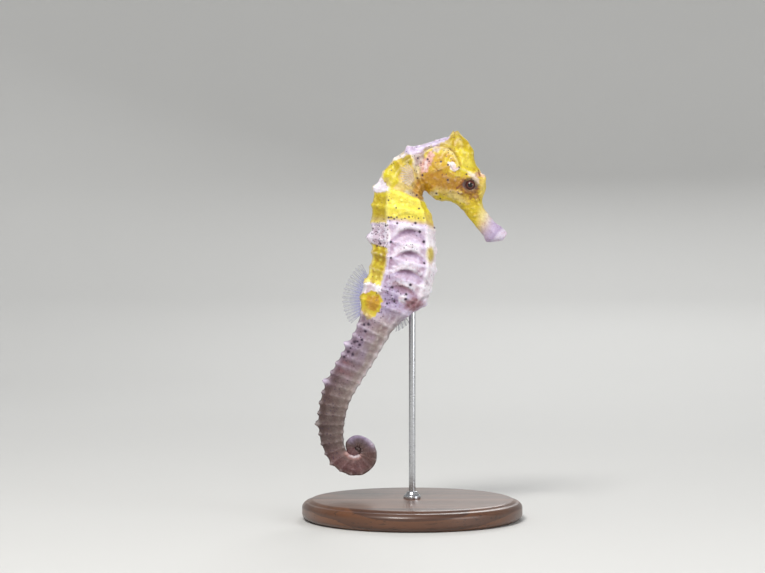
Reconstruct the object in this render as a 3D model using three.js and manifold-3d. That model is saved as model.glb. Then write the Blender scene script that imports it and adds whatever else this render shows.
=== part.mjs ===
// A life-size seahorse that swims upright: head bowed, trunk in bony rings, tail curled into a
// coil. A rod on a round wooden base holds it. Millimetres, +Z up. The animal faces +X, its left
// side is +Y, and the origin is the middle of the base's underside.
//
// Every place on the body has a ring number v. It is 0 at the throat and -13 at the mouth, the
// trunk rings are 1 to 11, and the tail rings run from 12 to the tip at 48. The angle phi goes
// round a ring, from 0 on the back to 180 degrees on the belly keel.
import * as THREE from "three";
import { mergeVertices } from "three/addons/utils/BufferGeometryUtils.js";
import Module from "manifold-3d";

const wasm = await Module();
wasm.setup();

// ---- head: back line and under line, in the plane of symmetry ---------------------------------
// ring, back x, back z, under x, under z
const HEAD_LINES = [
  [-13, 28.3, 85.8, 27.0, 83.5],
  [-12, 26.8, 87.5, 22.6, 82.9],
  [-11, 24.9, 88.8, 21.4, 84.8],
  [-10, 22.8, 91.2, 19.5, 87.1],
  [-9, 21.2, 93.7, 17.7, 89.3],
  [-8, 21.1, 96.0, 16.2, 91.2],
  [-7, 22.0, 98.5, 14.8, 93.0],
  [-6, 21.9, 101.8, 13.3, 94.2],
  [-5, 20.1, 104.2, 11.8, 95.0],
  [-4, 18.7, 107.5, 10.4, 95.3],
  [-3, 17.7, 111.5, 8.6, 95.3],
  [-2, 14.1, 114.0, 6.6, 96.0],
  [-1, 9.2, 114.0, 5.2, 97.6],
];
// ---- neck and trunk: the spine line and the belly keel at each bony ring -----------------------
const TRUNK_LINES = [
  [0, 3.9, 112.4, 3.9, 98.6],
  [1, -1.2, 111.1, 3.4, 98.2],
  [2, -5.4, 108.1, 3.1, 97.3],
  [3, -8.7, 103.9, 3.1, 96.1],
  [4, -11.1, 99.1, 3.9, 94.3],
  [5, -12.0, 94.0, 5.4, 91.3],
  [6, -12.3, 88.9, 6.6, 86.5],
  [7, -12.3, 84.1, 7.0, 80.5],
  [8, -12.2, 79.8, 6.9, 74.5],
  [9, -12.9, 75.4, 5.5, 68.5],
  [10, -14.4, 70.9, 3.8, 64.0],
  [11, -15.8, 66.2, -0.9, 60.9],
  [12, -15.7, 61.9, -5.5, 56.8],
  [13, -16.5, 58.3, -7.2, 53.8],
  [14, -17.7, 55.3, -9.0, 51.1],
];
// ---- tail: it leaves the trunk here and is then steered ring by ring ---------------------------
const TAIL_START = [-13.35, 53.2];
const TAIL_FIRST_RING = 14;
const TIP_RING = 48;
// heading from straight down, in degrees: positive leans to the back, negative curls to the belly
const TAIL_HEADING = [
  [14, 29], [17, 31.5], [19, 27], [21, 14], [23, 2], [25, -11], [27, -36], [29, -78],
  [31, -134], [33, -190], [35, -233], [37, -278], [39, -339], [41, -394], [43, -452],
  [45, -524], [48, -650],
];
// how far the rings lean from square to the tail, in degrees: their back edge sits lower
const TAIL_RING_LEAN = [[14, -3.5], [15.5, -8], [19, -7], [22, -1], [23, 0], [48, 0]];
// length of one ring along the tail
const TAIL_PITCH = [
  [14, 3.25], [19, 3.05], [23, 2.75], [27, 2.6], [29, 2.4], [31, 2.1], [33, 1.8], [35, 1.6],
  [37, 1.3], [39, 1.05], [42, 0.88], [45, 0.6], [48, 0.32],
];
// depth of the tail from its axis to its back
const TAIL_HALF_DEPTH = [
  [14, 4.95], [15, 4.85], [19, 4.45], [23, 3.9], [26, 3.05], [28, 2.6], [29, 2.45], [31, 2.15],
  [33, 1.8], [36, 1.4], [38, 1.2], [40, 1.03], [42, 0.86], [45, 0.5], [48, 0.25],
];
// how much further it is from the axis to the belly side: the coil is packed full on its inside
const TAIL_BELLY_EXTRA = [
  [14, 0], [28, 0], [29, 0.1], [30, 0.25], [32, 0.3], [34, 0.3], [36, 0.3], [38, 0.5], [40, 0.5],
  [42, 0.35], [44, 0.15], [48, 0],
];
const TAIL_STEPS_PER_RING = 16;

// ---- how the rings are shaped -----------------------------------------------------------------
// half the width of the animal, side to side
const HALF_WIDTH = [
  [-13, 1.45], [-12, 1.9], [-11, 1.65], [-9.5, 1.75], [-8, 2.4], [-7, 3.1], [-6, 3.7], [-5, 4.0],
  [-4, 4.2], [-3, 4.6], [-2, 4.9], [-1, 4.8], [0, 4.4], [1, 4.3], [2, 4.5], [3, 4.8], [4, 5.1],
  [5, 5.6], [6, 6.0], [7, 6.3], [8, 6.4], [9, 6.2], [10, 5.8], [11, 5.2], [12, 4.7], [14, 4.3],
  [19, 3.6], [23, 3.1], [26, 2.6], [29, 2.1], [33, 1.6], [37, 1.2], [42, 0.85], [48, 0.3],
];
// 2 is an oval, more is squarer: the snout and head are round, the tail is four-sided
const SQUARENESS = [[-13, 2], [-6, 2.1], [0, 2.2], [6, 2.4], [11, 2.7], [14, 4], [30, 4], [48, 2.5]];
// positive is broad at the back, negative is broad at the underside
const BROAD_BACK = [[-13, 0], [-5, -0.05], [-2, -0.22], [0, -0.05], [4, 0.08], [9, 0.12], [14, 0]];
// where the lengthwise ridges lie, in degrees from the back
const UPPER_RIDGE = [[0, 24], [9, 24], [14, 45], [48, 45]];
const SIDE_RIDGE_ANGLE = 64;
const LOWER_RIDGE_ANGLE = 135;
const RIDGE_HALF_ANGLE = 13;
// how far the lengthwise ridges stand out, and how far the back sinks between the upper two
const RIDGE_RISE = [[0, 0], [2, 0.2], [11, 0.3], [15, 0.6], [22, 0.55], [30, 0.3], [48, 0.03]];
const BACK_SINK = [[0, 0], [2, 0.15], [11, 0.25], [20, 0.2], [48, 0.02]];
// how far the skin sinks between two rings, and how far an ordinary spine stands out
const HOLLOW_DEPTH = [[0, 0], [1.5, 0.3], [4, 0.38], [11, 0.32], [20, 0.28], [30, 0.18], [48, 0.05]];
const SPINE_HEIGHT = [[0, 0.1], [1, 0.2], [11, 0.2], [14, 0.5], [20, 0.6], [30, 0.2], [48, 0.03]];
const LOWER_SPINE_SHARE = 0.5;
// the rings whose upper spines are enlarged, and by how much
const TALL_SPINES = [
  [1, 0.7], [4, 0.5], [7, 0.8], [10, 0.7], [15, 1.5], [19, 2.8], [23, 1.9], [27, 1.0],
];
const SPINE_SPREAD = 0.6;

// ---- lumps of the head: x, y, z, reach, height; each is on both sides --------------------------
const HEAD_LUMPS = {
  eye_ring: [17.3, 4.0, 100.2, 2.8, 0.85],
  eye_spine: [21.8, 1.8, 102.7, 1.3, 1.1],
  nose_spine: [20.2, 0.0, 104.6, 1.2, 0.3],
  gill_cover: [8.4, 4.8, 103.5, 4.5, 0.35],
  cheek_spine: [14.1, 2.3, 94.4, 1.0, 0.35],
};

// ---- eyes, coronet, fins and stand ------------------------------------------------------------
const EYE_CENTRE = [17.3, 3.1, 100.2];
const EYE_RADIUS = 1.9;
const CLEARANCE = 0.3;
const CORONET_CENTRE = [12.9, 0];
const CORONET_POINTS = 5;
// height z, radius along the head
const CORONET_RINGS = [[112.7, 3.4], [113.8, 2.8], [114.9, 1.9], [115.7, 1.25], [116.2, 0.9]];
const CORONET_DISH_Z = 115.8;
const CORONET_NARROWING = 0.65;
const FIN_THICKNESS = 0.5;
const BASE_RADIUS = 33;
const BASE_HEIGHT = 6;
const BASE_EDGE = 1;
const ROD_RADIUS = 1;
const ROD_FOOT_Z = 2.3;
const ROD_TOP_Z = 65;

// ---- where the body is parted, and how finely it is made ---------------------------------------
const MOUTH_RING = -13;
const SNOUT_RING = -8;
const NECK_RING = 0;
const FIRST_TAIL_RING = 12;
const PARTING_HALF_GAP = 0.055;
// the angles at which a section has a point, from the back to the belly, on each side alike
const TRUNK_ANGLES = [0, 24, 44, 64, 88, 112, 135, 158, 180];
const HEAD_ANGLES = [0, 15, 30, 45, 60, 75, 90, 105, 120, 135, 150, 165, 180];
const TAIL_ANGLES = [0, 22.5, 45, 67.5, 90, 112.5, 135, 157.5, 180];
const BODY_LENGTHS = [
  // node, first ring, last ring, colour
  ["snout", MOUTH_RING, SNOUT_RING, 0xe8dfb8],
  ["head", SNOUT_RING, NECK_RING, 0xe6cf4a],
  ["neck", NECK_RING, 3, 0xe9dfae],
  ["trunk_upper", 3, 7, 0xecd84c],
  ["trunk_lower", 7, 12, 0xd9cde4],
  ["tail_1", 12, 16, 0xd2c6cf],
  ["tail_2", 16, 20, 0xc2aea8],
  ["tail_3", 20, 24, 0xb49b95],
  ["tail_4", 24, 28, 0xb09690],
  ["tail_5", 28, 31.5, 0xb3979a],
  ["tail_6", 31.5, 36, 0xb7a1ad],
  ["tail_7", 36, TIP_RING, 0xa58580],
];

const degrees = Math.PI / 180;

// Reads a keyed list [key, value, value...] as one smooth curve through its points.
function keyed(list, key) {
  const last = list.length - 1;
  const k = Math.min(Math.max(key, list[0][0]), list[last][0]);
  let i = 0;
  while (i < last - 1 && k >= list[i + 1][0]) i += 1;
  const slope = (a, b, c) => (list[b][c] - list[a][c]) / (list[b][0] - list[a][0]);
  const tangent = (j, c) => {
    if (j === 0) return slope(0, 1, c);
    if (j === last) return slope(last - 1, last, c);
    const before = list[j][0] - list[j - 1][0];
    const after = list[j + 1][0] - list[j][0];
    return (slope(j - 1, j, c) * after + slope(j, j + 1, c) * before) / (before + after);
  };
  const span = list[i + 1][0] - list[i][0];
  const s = (k - list[i][0]) / span;
  const values = [];
  for (let c = 1; c < list[0].length; c += 1) {
    const start = list[i][c] * (2 * s ** 3 - 3 * s ** 2 + 1);
    const end = list[i + 1][c] * (3 * s ** 2 - 2 * s ** 3);
    const leaving = tangent(i, c) * span * (s ** 3 - 2 * s ** 2 + s);
    const arriving = tangent(i + 1, c) * span * (s ** 3 - s ** 2);
    values.push(start + end + leaving + arriving);
  }
  return values;
}

// The tail's axis, walked ring by ring along its heading: one [x, z] for each small step.
function walkTail() {
  const path = [TAIL_START];
  const steps = (TIP_RING - TAIL_FIRST_RING) * TAIL_STEPS_PER_RING;
  for (let i = 0; i < steps; i += 1) {
    const v = TAIL_FIRST_RING + (i + 0.5) / TAIL_STEPS_PER_RING;
    const heading = keyed(TAIL_HEADING, v)[0] * degrees;
    const step = keyed(TAIL_PITCH, v)[0] / TAIL_STEPS_PER_RING;
    const [x, z] = path[i];
    path.push([x - Math.sin(heading) * step, z - Math.cos(heading) * step]);
  }
  return path;
}

const bodyLines = [...HEAD_LINES, ...TRUNK_LINES];
const tailPath = walkTail();

// The back point and the belly point of the body at ring v, in the plane of symmetry.
function backAndBelly(v) {
  if (v <= TAIL_FIRST_RING) {
    const [backX, backZ, bellyX, bellyZ] = keyed(bodyLines, v);
    return [new THREE.Vector3(backX, 0, backZ), new THREE.Vector3(bellyX, 0, bellyZ)];
  }
  const place = (v - TAIL_FIRST_RING) * TAIL_STEPS_PER_RING;
  const i = Math.min(Math.floor(place), tailPath.length - 2);
  const x = THREE.MathUtils.lerp(tailPath[i][0], tailPath[i + 1][0], place - i);
  const z = THREE.MathUtils.lerp(tailPath[i][1], tailPath[i + 1][1], place - i);
  const lean = keyed(TAIL_RING_LEAN, v)[0] * degrees;
  const tilt = keyed(TAIL_HEADING, v)[0] * degrees + lean;
  const toBack = new THREE.Vector3(-Math.cos(tilt), 0, Math.sin(tilt));
  const toBackEdge = keyed(TAIL_HALF_DEPTH, v)[0] / Math.cos(lean);
  const toBellyEdge = toBackEdge + keyed(TAIL_BELLY_EXTRA, v)[0];
  const axis = new THREE.Vector3(x, 0, z);
  return [axis.clone().addScaledVector(toBack, toBackEdge), axis.addScaledVector(toBack, -toBellyEdge)];
}

function hump(distance, reach) {
  return Math.exp(-((distance / reach) ** 2));
}

// How strongly each lengthwise ridge is felt at ring v and angle phi.
function ridges(v, phi) {
  const angle = Math.abs(phi) / degrees;
  const upper = hump(angle - keyed(UPPER_RIDGE, v)[0], RIDGE_HALF_ANGLE);
  const side = v < FIRST_TAIL_RING + 1 ? hump(angle - SIDE_RIDGE_ANGLE, RIDGE_HALF_ANGLE) : 0;
  const lower = hump(angle - LOWER_RIDGE_ANGLE, RIDGE_HALF_ANGLE);
  const keel = v < FIRST_TAIL_RING ? hump(angle - 180, RIDGE_HALF_ANGLE) : 0;
  return { upper, any: Math.max(upper, side, lower, keel), back: hump(angle, RIDGE_HALF_ANGLE) };
}

// 1 on a ring and 0 midway between two.
function ringWave(v) {
  return 0.5 + 0.5 * Math.cos(2 * Math.PI * v);
}

// How far the skin stands out or sinks: lengthwise ridges, and hollows between the rings.
function relief(v, phi) {
  if (v < 0.5) return 0;
  const { any, back } = ridges(v, phi);
  const hollow = keyed(HOLLOW_DEPTH, v)[0] * (1 - ringWave(v)) * (1 - 0.4 * any);
  return keyed(RIDGE_RISE, v)[0] * any - keyed(BACK_SINK, v)[0] * back - hollow;
}

// The blunt spines where rings cross ridges.
function spineLength(v, phi) {
  if (v < 0.5) return 0;
  const { upper, any } = ridges(v, phi);
  const tall = TALL_SPINES.find(([ring]) => Math.abs(v - ring) < 0.5);
  const ordinary = keyed(SPINE_HEIGHT, v)[0] * Math.max(upper, LOWER_SPINE_SHARE * any);
  return (ordinary + (tall ? tall[1] * upper : 0)) * ringWave(v);
}

function lumps(point) {
  let height = 0;
  for (const [x, y, z, reach, rise] of Object.values(HEAD_LUMPS)) {
    const away = Math.hypot(point.x - x, Math.abs(point.y) - y, point.z - z);
    height += rise * hump(away, reach);
  }
  return height;
}

// A point of the skin at ring v and angle phi, pushed out by extra.
function skinPoint(v, phi, extra = 0) {
  const [back, belly] = backAndBelly(v);
  const middle = back.clone().add(belly).multiplyScalar(0.5);
  const halfDepth = back.distanceTo(belly) / 2;
  const toBack = back.clone().sub(middle).normalize();
  const halfWidth = keyed(HALF_WIDTH, v)[0];
  const power = 2 / keyed(SQUARENESS, v)[0];
  const across = Math.sign(Math.sin(phi)) * Math.abs(Math.sin(phi)) ** power;
  const along = Math.sign(Math.cos(phi)) * Math.abs(Math.cos(phi)) ** power;
  const broad = 1 + keyed(BROAD_BACK, v)[0] * Math.cos(phi);
  const point = middle.addScaledVector(toBack, along * halfDepth);
  point.y += across * halfWidth * broad;
  const out = toBack.clone().multiplyScalar(Math.cos(phi) / halfDepth);
  out.y += Math.sin(phi) / halfWidth;
  const rise = relief(v, phi) + lumps(point) + extra;
  point.addScaledVector(out.normalize(), rise);
  const spineWay = toBack.clone().multiplyScalar(Math.cos(phi));
  spineWay.y = Math.sin(phi) * SPINE_SPREAD;
  return point.addScaledVector(spineWay.normalize(), spineLength(v, phi));
}

// Closes a stack of point rings with a fan over each end, and makes the faces point out.
function closedStack(rings) {
  const count = rings[0].length;
  const points = rings.flat();
  const faces = [];
  for (let r = 0; r < rings.length - 1; r += 1) {
    for (let i = 0; i < count; i += 1) {
      const a = r * count + i;
      const b = r * count + ((i + 1) % count);
      faces.push(a, b, b + count, a, b + count, a + count);
    }
  }
  const ends = [[0, true], [rings.length - 1, false]];
  for (const [r, first] of ends) {
    const middle = new THREE.Vector3();
    rings[r].forEach((point) => middle.addScaledVector(point, 1 / count));
    const hub = points.push(middle) - 1;
    for (let i = 0; i < count; i += 1) {
      const a = r * count + i;
      const b = r * count + ((i + 1) % count);
      if (first) faces.push(hub, b, a);
      else faces.push(hub, a, b);
    }
  }
  return outward(points, faces);
}

// Six times the signed volume tells which way the faces point.
function outward(points, faces) {
  let volume = 0;
  for (let f = 0; f < faces.length; f += 3) {
    const [a, b, c] = [points[faces[f]], points[faces[f + 1]], points[faces[f + 2]]];
    volume += a.dot(b.clone().cross(c));
  }
  const order = volume > 0 ? faces : faces.slice().reverse();
  const geometry = new THREE.BufferGeometry().setFromPoints(points);
  geometry.setIndex(order);
  return geometry;
}

// The ring numbers at which a length of body gets a section: each ring, each hollow, both ends.
function sectionPlaces(first, last) {
  const places = [first];
  const step = 0.5;
  for (let v = Math.ceil(first / step) * step; v < last; v += step) {
    const clear = Math.min(v - first, last - v);
    if (clear > 0.1) places.push(v);
  }
  places.push(last);
  return places;
}

function sectionAngles(first) {
  if (first < NECK_RING) return HEAD_ANGLES;
  return first < FIRST_TAIL_RING ? TRUNK_ANGLES : TAIL_ANGLES;
}

function bodyLength(first, last, extra = 0) {
  const start = first === MOUTH_RING ? first : first + PARTING_HALF_GAP;
  const end = last === TIP_RING ? last : last - PARTING_HALF_GAP;
  const half = sectionAngles(first).map((angle) => angle * degrees);
  const otherHalf = half.slice(1, -1).reverse().map((angle) => -angle);
  const angles = [...half, ...otherHalf];
  const rings = sectionPlaces(start, end).map((v) => angles.map((phi) => skinPoint(v, phi, extra)));
  return closedStack(rings);
}

// ---- solids that cut one another ---------------------------------------------------------------
function toSolid(geometry) {
  const bare = geometry.clone();
  bare.deleteAttribute("normal");
  bare.deleteAttribute("uv");
  const merged = mergeVertices(bare, 1e-5);
  const mesh = new wasm.Mesh({
    numProp: 3,
    vertProperties: new Float32Array(merged.attributes.position.array),
    triVerts: new Uint32Array(merged.index.array),
  });
  return new wasm.Manifold(mesh);
}

function fromSolid(solid) {
  const mesh = solid.getMesh();
  const geometry = new THREE.BufferGeometry();
  geometry.setAttribute("position", new THREE.BufferAttribute(mesh.vertProperties, 3));
  geometry.setIndex(new THREE.BufferAttribute(mesh.triVerts, 1));
  return geometry;
}

function cut(geometry, ...cutters) {
  let solid = toSolid(geometry);
  for (const cutter of cutters) solid = solid.subtract(toSolid(cutter));
  return fromSolid(solid);
}

// ---- the smaller pieces ------------------------------------------------------------------------
function eyeball(side, radius) {
  const [x, y, z] = EYE_CENTRE;
  return new THREE.SphereGeometry(radius, 16, 12).translate(x, y * side, z);
}

function coronetGeometry() {
  const count = CORONET_POINTS * 4;
  const ringAt = (z, radius, lift) =>
    Array.from({ length: count }, (_, i) => {
      const angle = (i / count) * 2 * Math.PI;
      const point = Math.cos(angle * CORONET_POINTS);
      const reach = radius * (1 + 0.12 * point);
      const x = CORONET_CENTRE[0] + reach * Math.cos(angle);
      const y = CORONET_CENTRE[1] + reach * Math.sin(angle) * CORONET_NARROWING;
      return new THREE.Vector3(x, y, z + lift * point);
    });
  const rings = CORONET_RINGS.map(([z, radius], i) => ringAt(z, radius, 0.05 * i));
  const top = CORONET_RINGS.at(-1)[1];
  rings.push(ringAt(CORONET_DISH_Z, top * 0.6, 0));
  return closedStack(rings);
}

// A fin: rays that fan out from their roots, as one thin closed plate.
function finPlate(rays, flat) {
  const half = flat.clone().normalize().multiplyScalar(FIN_THICKNESS / 2);
  const rings = rays.map(([root, tip]) => {
    const middle = root.clone().add(tip).multiplyScalar(0.5);
    return [
      root.clone().add(half), middle.clone().add(half), tip.clone().add(half),
      tip.clone().sub(half), middle.clone().sub(half), root.clone().sub(half),
    ];
  });
  return closedStack(rings);
}

// Rays between two ends: each value runs from its first to its last, and length swells between.
function fanRays(count, rootAt, firstAngle, lastAngle, lengthAt, direction) {
  return Array.from({ length: count }, (_, i) => {
    const s = i / (count - 1);
    const root = rootAt(s);
    const angle = THREE.MathUtils.lerp(firstAngle, lastAngle, s) * degrees;
    return [root, root.clone().addScaledVector(direction(angle), lengthAt(s))];
  });
}

const backwardAndUp = (angle) => new THREE.Vector3(-Math.cos(angle), 0, Math.sin(angle));

function dorsalFin() {
  const rootAt = (s) => {
    const [back, belly] = backAndBelly(THREE.MathUtils.lerp(9.5, 12.2, s));
    return back.addScaledVector(back.clone().sub(belly).normalize(), 0.45);
  };
  const lengthAt = (s) => 3.1 + 1.7 * Math.sin(Math.PI * s) ** 0.6;
  const rays = fanRays(12, rootAt, 62, -42, lengthAt, backwardAndUp);
  return finPlate(rays, new THREE.Vector3(0, 1, 0));
}

function pectoralFin(side) {
  const spread = 22 * degrees;
  const rootAt = (s) => new THREE.Vector3(0.1 + 0.5 * s, side * 4.95, 104.4 - 3.2 * s);
  const direction = (angle) => {
    const ray = backwardAndUp(angle).multiplyScalar(Math.cos(spread));
    ray.y = side * Math.sin(spread);
    return ray;
  };
  const lengthAt = (s) => 3 + 1.1 * Math.sin(Math.PI * s);
  const rays = fanRays(8, rootAt, 48, -48, lengthAt, direction);
  const flat = new THREE.Vector3(Math.sin(spread), side * Math.cos(spread), 0);
  return finPlate(rays, flat);
}

function analFin() {
  const rootAt = (s) => {
    const [back, belly] = backAndBelly(THREE.MathUtils.lerp(11.45, 12.05, s));
    return belly.addScaledVector(belly.clone().sub(back).normalize(), 0.5);
  };
  const lengthAt = (s) => 1.5 + 0.5 * Math.sin(Math.PI * s);
  const forwardAndDown = (angle) => new THREE.Vector3(Math.cos(angle), 0, -Math.sin(angle));
  const rays = fanRays(5, rootAt, 55, 95, lengthAt, forwardAndDown);
  return finPlate(rays, new THREE.Vector3(0, 1, 0));
}

function cylinderBetween(lowZ, highZ, radius) {
  const cylinder = new THREE.CylinderGeometry(radius, radius, highZ - lowZ, 20);
  return cylinder.rotateX(Math.PI / 2).translate(0, 0, (lowZ + highZ) / 2);
}

function standBase() {
  const socket = ROD_RADIUS + CLEARANCE;
  const floor = ROD_FOOT_Z - CLEARANCE;
  const profile = [
    [0, 0], [BASE_RADIUS - BASE_EDGE, 0], [BASE_RADIUS, BASE_EDGE],
    [BASE_RADIUS, BASE_HEIGHT - BASE_EDGE], [BASE_RADIUS - BASE_EDGE, BASE_HEIGHT],
    [socket, BASE_HEIGHT], [socket, floor], [0, floor],
  ];
  const points = profile.map(([radius, height]) => new THREE.Vector2(radius, height));
  return new THREE.LatheGeometry(points, 48).rotateX(Math.PI / 2);
}

// ---- the model ---------------------------------------------------------------------------------
const seahorse = new THREE.Group();

function add(name, geometry, colour, roughness = 0.6, metalness = 0) {
  const material = new THREE.MeshStandardMaterial({ color: colour, roughness, metalness });
  const mesh = new THREE.Mesh(geometry, material);
  mesh.name = name;
  seahorse.add(mesh);
}

const eyeSockets = [1, -1].map((side) => eyeball(side, EYE_RADIUS + CLEARANCE));
const rodSocket = cylinderBetween(50, ROD_TOP_Z + CLEARANCE, ROD_RADIUS + CLEARANCE);
const headRoom = bodyLength(SNOUT_RING, NECK_RING, CLEARANCE);

for (const [name, first, last, colour] of BODY_LENGTHS) {
  let geometry = bodyLength(first, last);
  if (name === "head") geometry = cut(geometry, ...eyeSockets);
  if (name === "trunk_lower") geometry = cut(geometry, rodSocket);
  add(name, geometry, colour);
}
add("coronet", cut(coronetGeometry(), headRoom), 0xe9d766);
add("dorsal_fin", dorsalFin(), 0xb9b8cf, 0.4);
add("anal_fin", analFin(), 0x8f8f8c, 0.4);
for (const [label, side] of [["left", 1], ["right", -1]]) {
  add(`eye_${label}`, eyeball(side, EYE_RADIUS), 0x4a2c22, 0.15);
  add(`pectoral_fin_${label}`, pectoralFin(side), 0xe3dfcf, 0.4);
}
add("stand_base", standBase(), 0x3a2a20, 0.45);
add("stand_rod", cylinderBetween(ROD_FOOT_Z, ROD_TOP_Z, ROD_RADIUS), 0xb9bcc0, 0.3, 1);

export default seahorse;
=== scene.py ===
# %% [markdown]
# # A museum seahorse, from bare mesh to painted skin
# This lesson builds the outside of a life-size seahorse model around a plain solid one. The solid
# model is the frame: it says where everything is and how big. Each chapter says what a piece is on
# the real animal, then makes it, then prints what it made.

# %% Load the frame
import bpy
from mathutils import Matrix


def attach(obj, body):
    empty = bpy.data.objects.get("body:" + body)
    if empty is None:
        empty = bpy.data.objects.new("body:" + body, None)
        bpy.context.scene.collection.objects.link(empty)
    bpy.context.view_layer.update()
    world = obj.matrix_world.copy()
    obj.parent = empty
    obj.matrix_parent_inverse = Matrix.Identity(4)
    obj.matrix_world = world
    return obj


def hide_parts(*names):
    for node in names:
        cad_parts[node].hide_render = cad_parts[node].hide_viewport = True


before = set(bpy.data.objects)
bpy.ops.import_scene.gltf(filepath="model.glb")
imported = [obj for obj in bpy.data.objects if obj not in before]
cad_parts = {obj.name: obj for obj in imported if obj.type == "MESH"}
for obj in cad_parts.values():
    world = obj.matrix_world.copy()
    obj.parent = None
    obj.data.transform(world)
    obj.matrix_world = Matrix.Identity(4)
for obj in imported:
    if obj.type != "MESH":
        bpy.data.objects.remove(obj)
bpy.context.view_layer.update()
print("nodes in the frame:", len(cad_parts))

# %% Tools of the lesson
import math

import bpy
import numpy as np
from mathutils import Vector, noise

MM = 0.001
rng = np.random.default_rng(7)
print("lengths below are in millimetres, and are multiplied by", MM, "when a mesh is made")

# %% [markdown]
# ## One map for the whole animal
# A seahorse has no scales. Its skin is stretched over bony rings, about 11 on the trunk and three
# dozen on the tail. So a place on the skin needs just two numbers: the ring it is on, and how far
# round that ring it lies. Ring -13 is the mouth, 0 the throat, 12 the first tail ring and 50 the
# tip. Every table below is read with the ring number. A smooth curve through a few measured rows
# is easier to correct than thousands of vertices pushed by hand.

# %% Curves through a table
def keyed(rows, keys):
    """Reads rows of [key, value, ...] as smooth curves: one column for each value."""
    table = np.array(rows, float)
    knots, values = table[:, 0], table[:, 1:]
    gap = np.diff(knots)[:, None]
    slope = np.diff(values, axis=0) / gap
    inner = (slope[:-1] * gap[1:] + slope[1:] * gap[:-1]) / (gap[:-1] + gap[1:])
    tangent = np.vstack([slope[:1], inner, slope[-1:]])
    k = np.clip(np.asarray(keys, float), knots[0], knots[-1])
    i = np.clip(np.searchsorted(knots, k, "right") - 1, 0, len(knots) - 2)
    s = ((k - knots[i]) / gap[i, 0])[..., None]
    ends = values[i] * (2 * s**3 - 3 * s**2 + 1) + values[i + 1] * (3 * s**2 - 2 * s**3)
    pull = tangent[i] * (s**3 - 2 * s**2 + s) + tangent[i + 1] * (s**3 - s**2)
    return ends + pull * gap[i]


def along(rows, keys):
    """A table with one value for each key."""
    return keyed(rows, keys)[..., 0]


def smooth(low, high, x):
    """0 below low, 1 above high, and an easy slope between. low may be the larger."""
    t = np.clip((np.asarray(x, float) - low) / (high - low), 0, 1)
    return t * t * (3 - 2 * t)


def hump(distance, reach):
    """1 at distance 0, fading to nothing past about twice the reach."""
    return np.exp(-((distance / reach) ** 2))


def from_segment(x, z, a, b):
    """How far places x, z are from the straight line between the points a and b."""
    run_x, run_z = b[0] - a[0], b[1] - a[1]
    share = ((x - a[0]) * run_x + (z - a[1]) * run_z) / math.dist(a, b) ** 2
    share = np.clip(share, 0, 1)
    return np.hypot(x - a[0] - share * run_x, z - a[1] - share * run_z)


print("half way from 0 to 10, on a table:", float(along([[0, 0], [1, 10]], 0.5)))

# %% [markdown]
# ## The outline
# From the side, a seahorse is two lines: its back and its belly. The head hangs forward like a
# horse's, with the long snout pointing down. The trunk swells at ring 7, and the tail runs back,
# bends forward and rolls up.

# %% Back line and belly line
# ring, back x, back z, underside x, underside z
BODY_LINES = [
    [-13, 28.3, 85.8, 27.0, 83.5], [-12, 26.8, 87.5, 22.6, 82.9], [-11, 24.9, 88.8, 21.4, 84.8],
    [-10, 22.8, 91.2, 19.5, 87.1], [-9, 21.2, 93.7, 17.7, 89.3], [-8, 21.1, 96.0, 16.2, 91.2],
    [-7, 22.0, 98.5, 14.8, 93.0], [-6, 21.9, 101.8, 13.3, 94.2], [-5, 20.1, 104.2, 11.8, 95.0],
    [-4, 18.7, 107.5, 10.4, 95.3], [-3, 17.7, 111.5, 8.6, 95.3], [-2, 14.1, 114.0, 6.6, 96.0],
    [-1, 9.2, 114.0, 5.2, 97.6], [0, 3.9, 112.4, 3.9, 98.6], [1, -1.2, 111.1, 3.4, 98.2],
    [2, -5.4, 108.1, 3.1, 97.3], [3, -8.7, 103.9, 3.1, 96.1], [4, -11.1, 99.1, 3.9, 94.3],
    [5, -12.0, 94.0, 5.4, 91.3], [6, -12.3, 88.9, 6.6, 86.5], [7, -12.3, 84.1, 7.0, 80.5],
    [8, -12.2, 79.8, 6.9, 74.5], [9, -12.9, 75.4, 5.5, 68.5], [10, -14.4, 70.9, 3.8, 64.0],
    [11, -15.8, 66.2, -0.9, 60.9], [12, -15.7, 61.9, -5.5, 56.8], [13, -16.5, 58.3, -7.2, 53.8],
    [14, -17.7, 55.3, -9.0, 51.1],
]
MOUTH, TAIL_BEGINS, TIP = -13, 14, 50
print("rings in the table:", len(BODY_LINES))

# %% The tail, walked ring by ring
TAIL_START = (-13.35, 53.2)
# heading from straight down, in degrees: positive leans to the back, negative curls to the belly
TAIL_HEADING = [
    [14, 29], [17, 31.5], [19, 27], [21, 14], [23, 2], [25, -11], [27, -36], [29, -78],
    [31, -134], [33, -190], [35, -233], [37, -278], [39, -339], [41, -394], [43, -452],
    [45, -524], [48, -650], [50, -700],
]
TAIL_RING_LEAN = [[14, -3.5], [15.5, -8], [19, -7], [22, -1], [23, 0], [48, 0]]
TAIL_PITCH = [
    [14, 3.25], [19, 3.05], [23, 2.75], [27, 2.6], [29, 2.4], [31, 2.1], [33, 1.8], [35, 1.6],
    [37, 1.3], [39, 1.05], [42, 0.88], [45, 0.6], [48, 0.32],
]
TAIL_HALF_DEPTH = [
    [14, 4.95], [15, 4.85], [19, 4.45], [23, 3.9], [26, 3.05], [28, 2.6], [29, 2.45],
    [31, 2.15], [33, 1.8], [36, 1.4], [38, 1.2], [40, 1.12], [42, 1.0], [45, 0.82], [48, 0.68],
    [49, 0.56], [50, 0.2],
]
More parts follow.
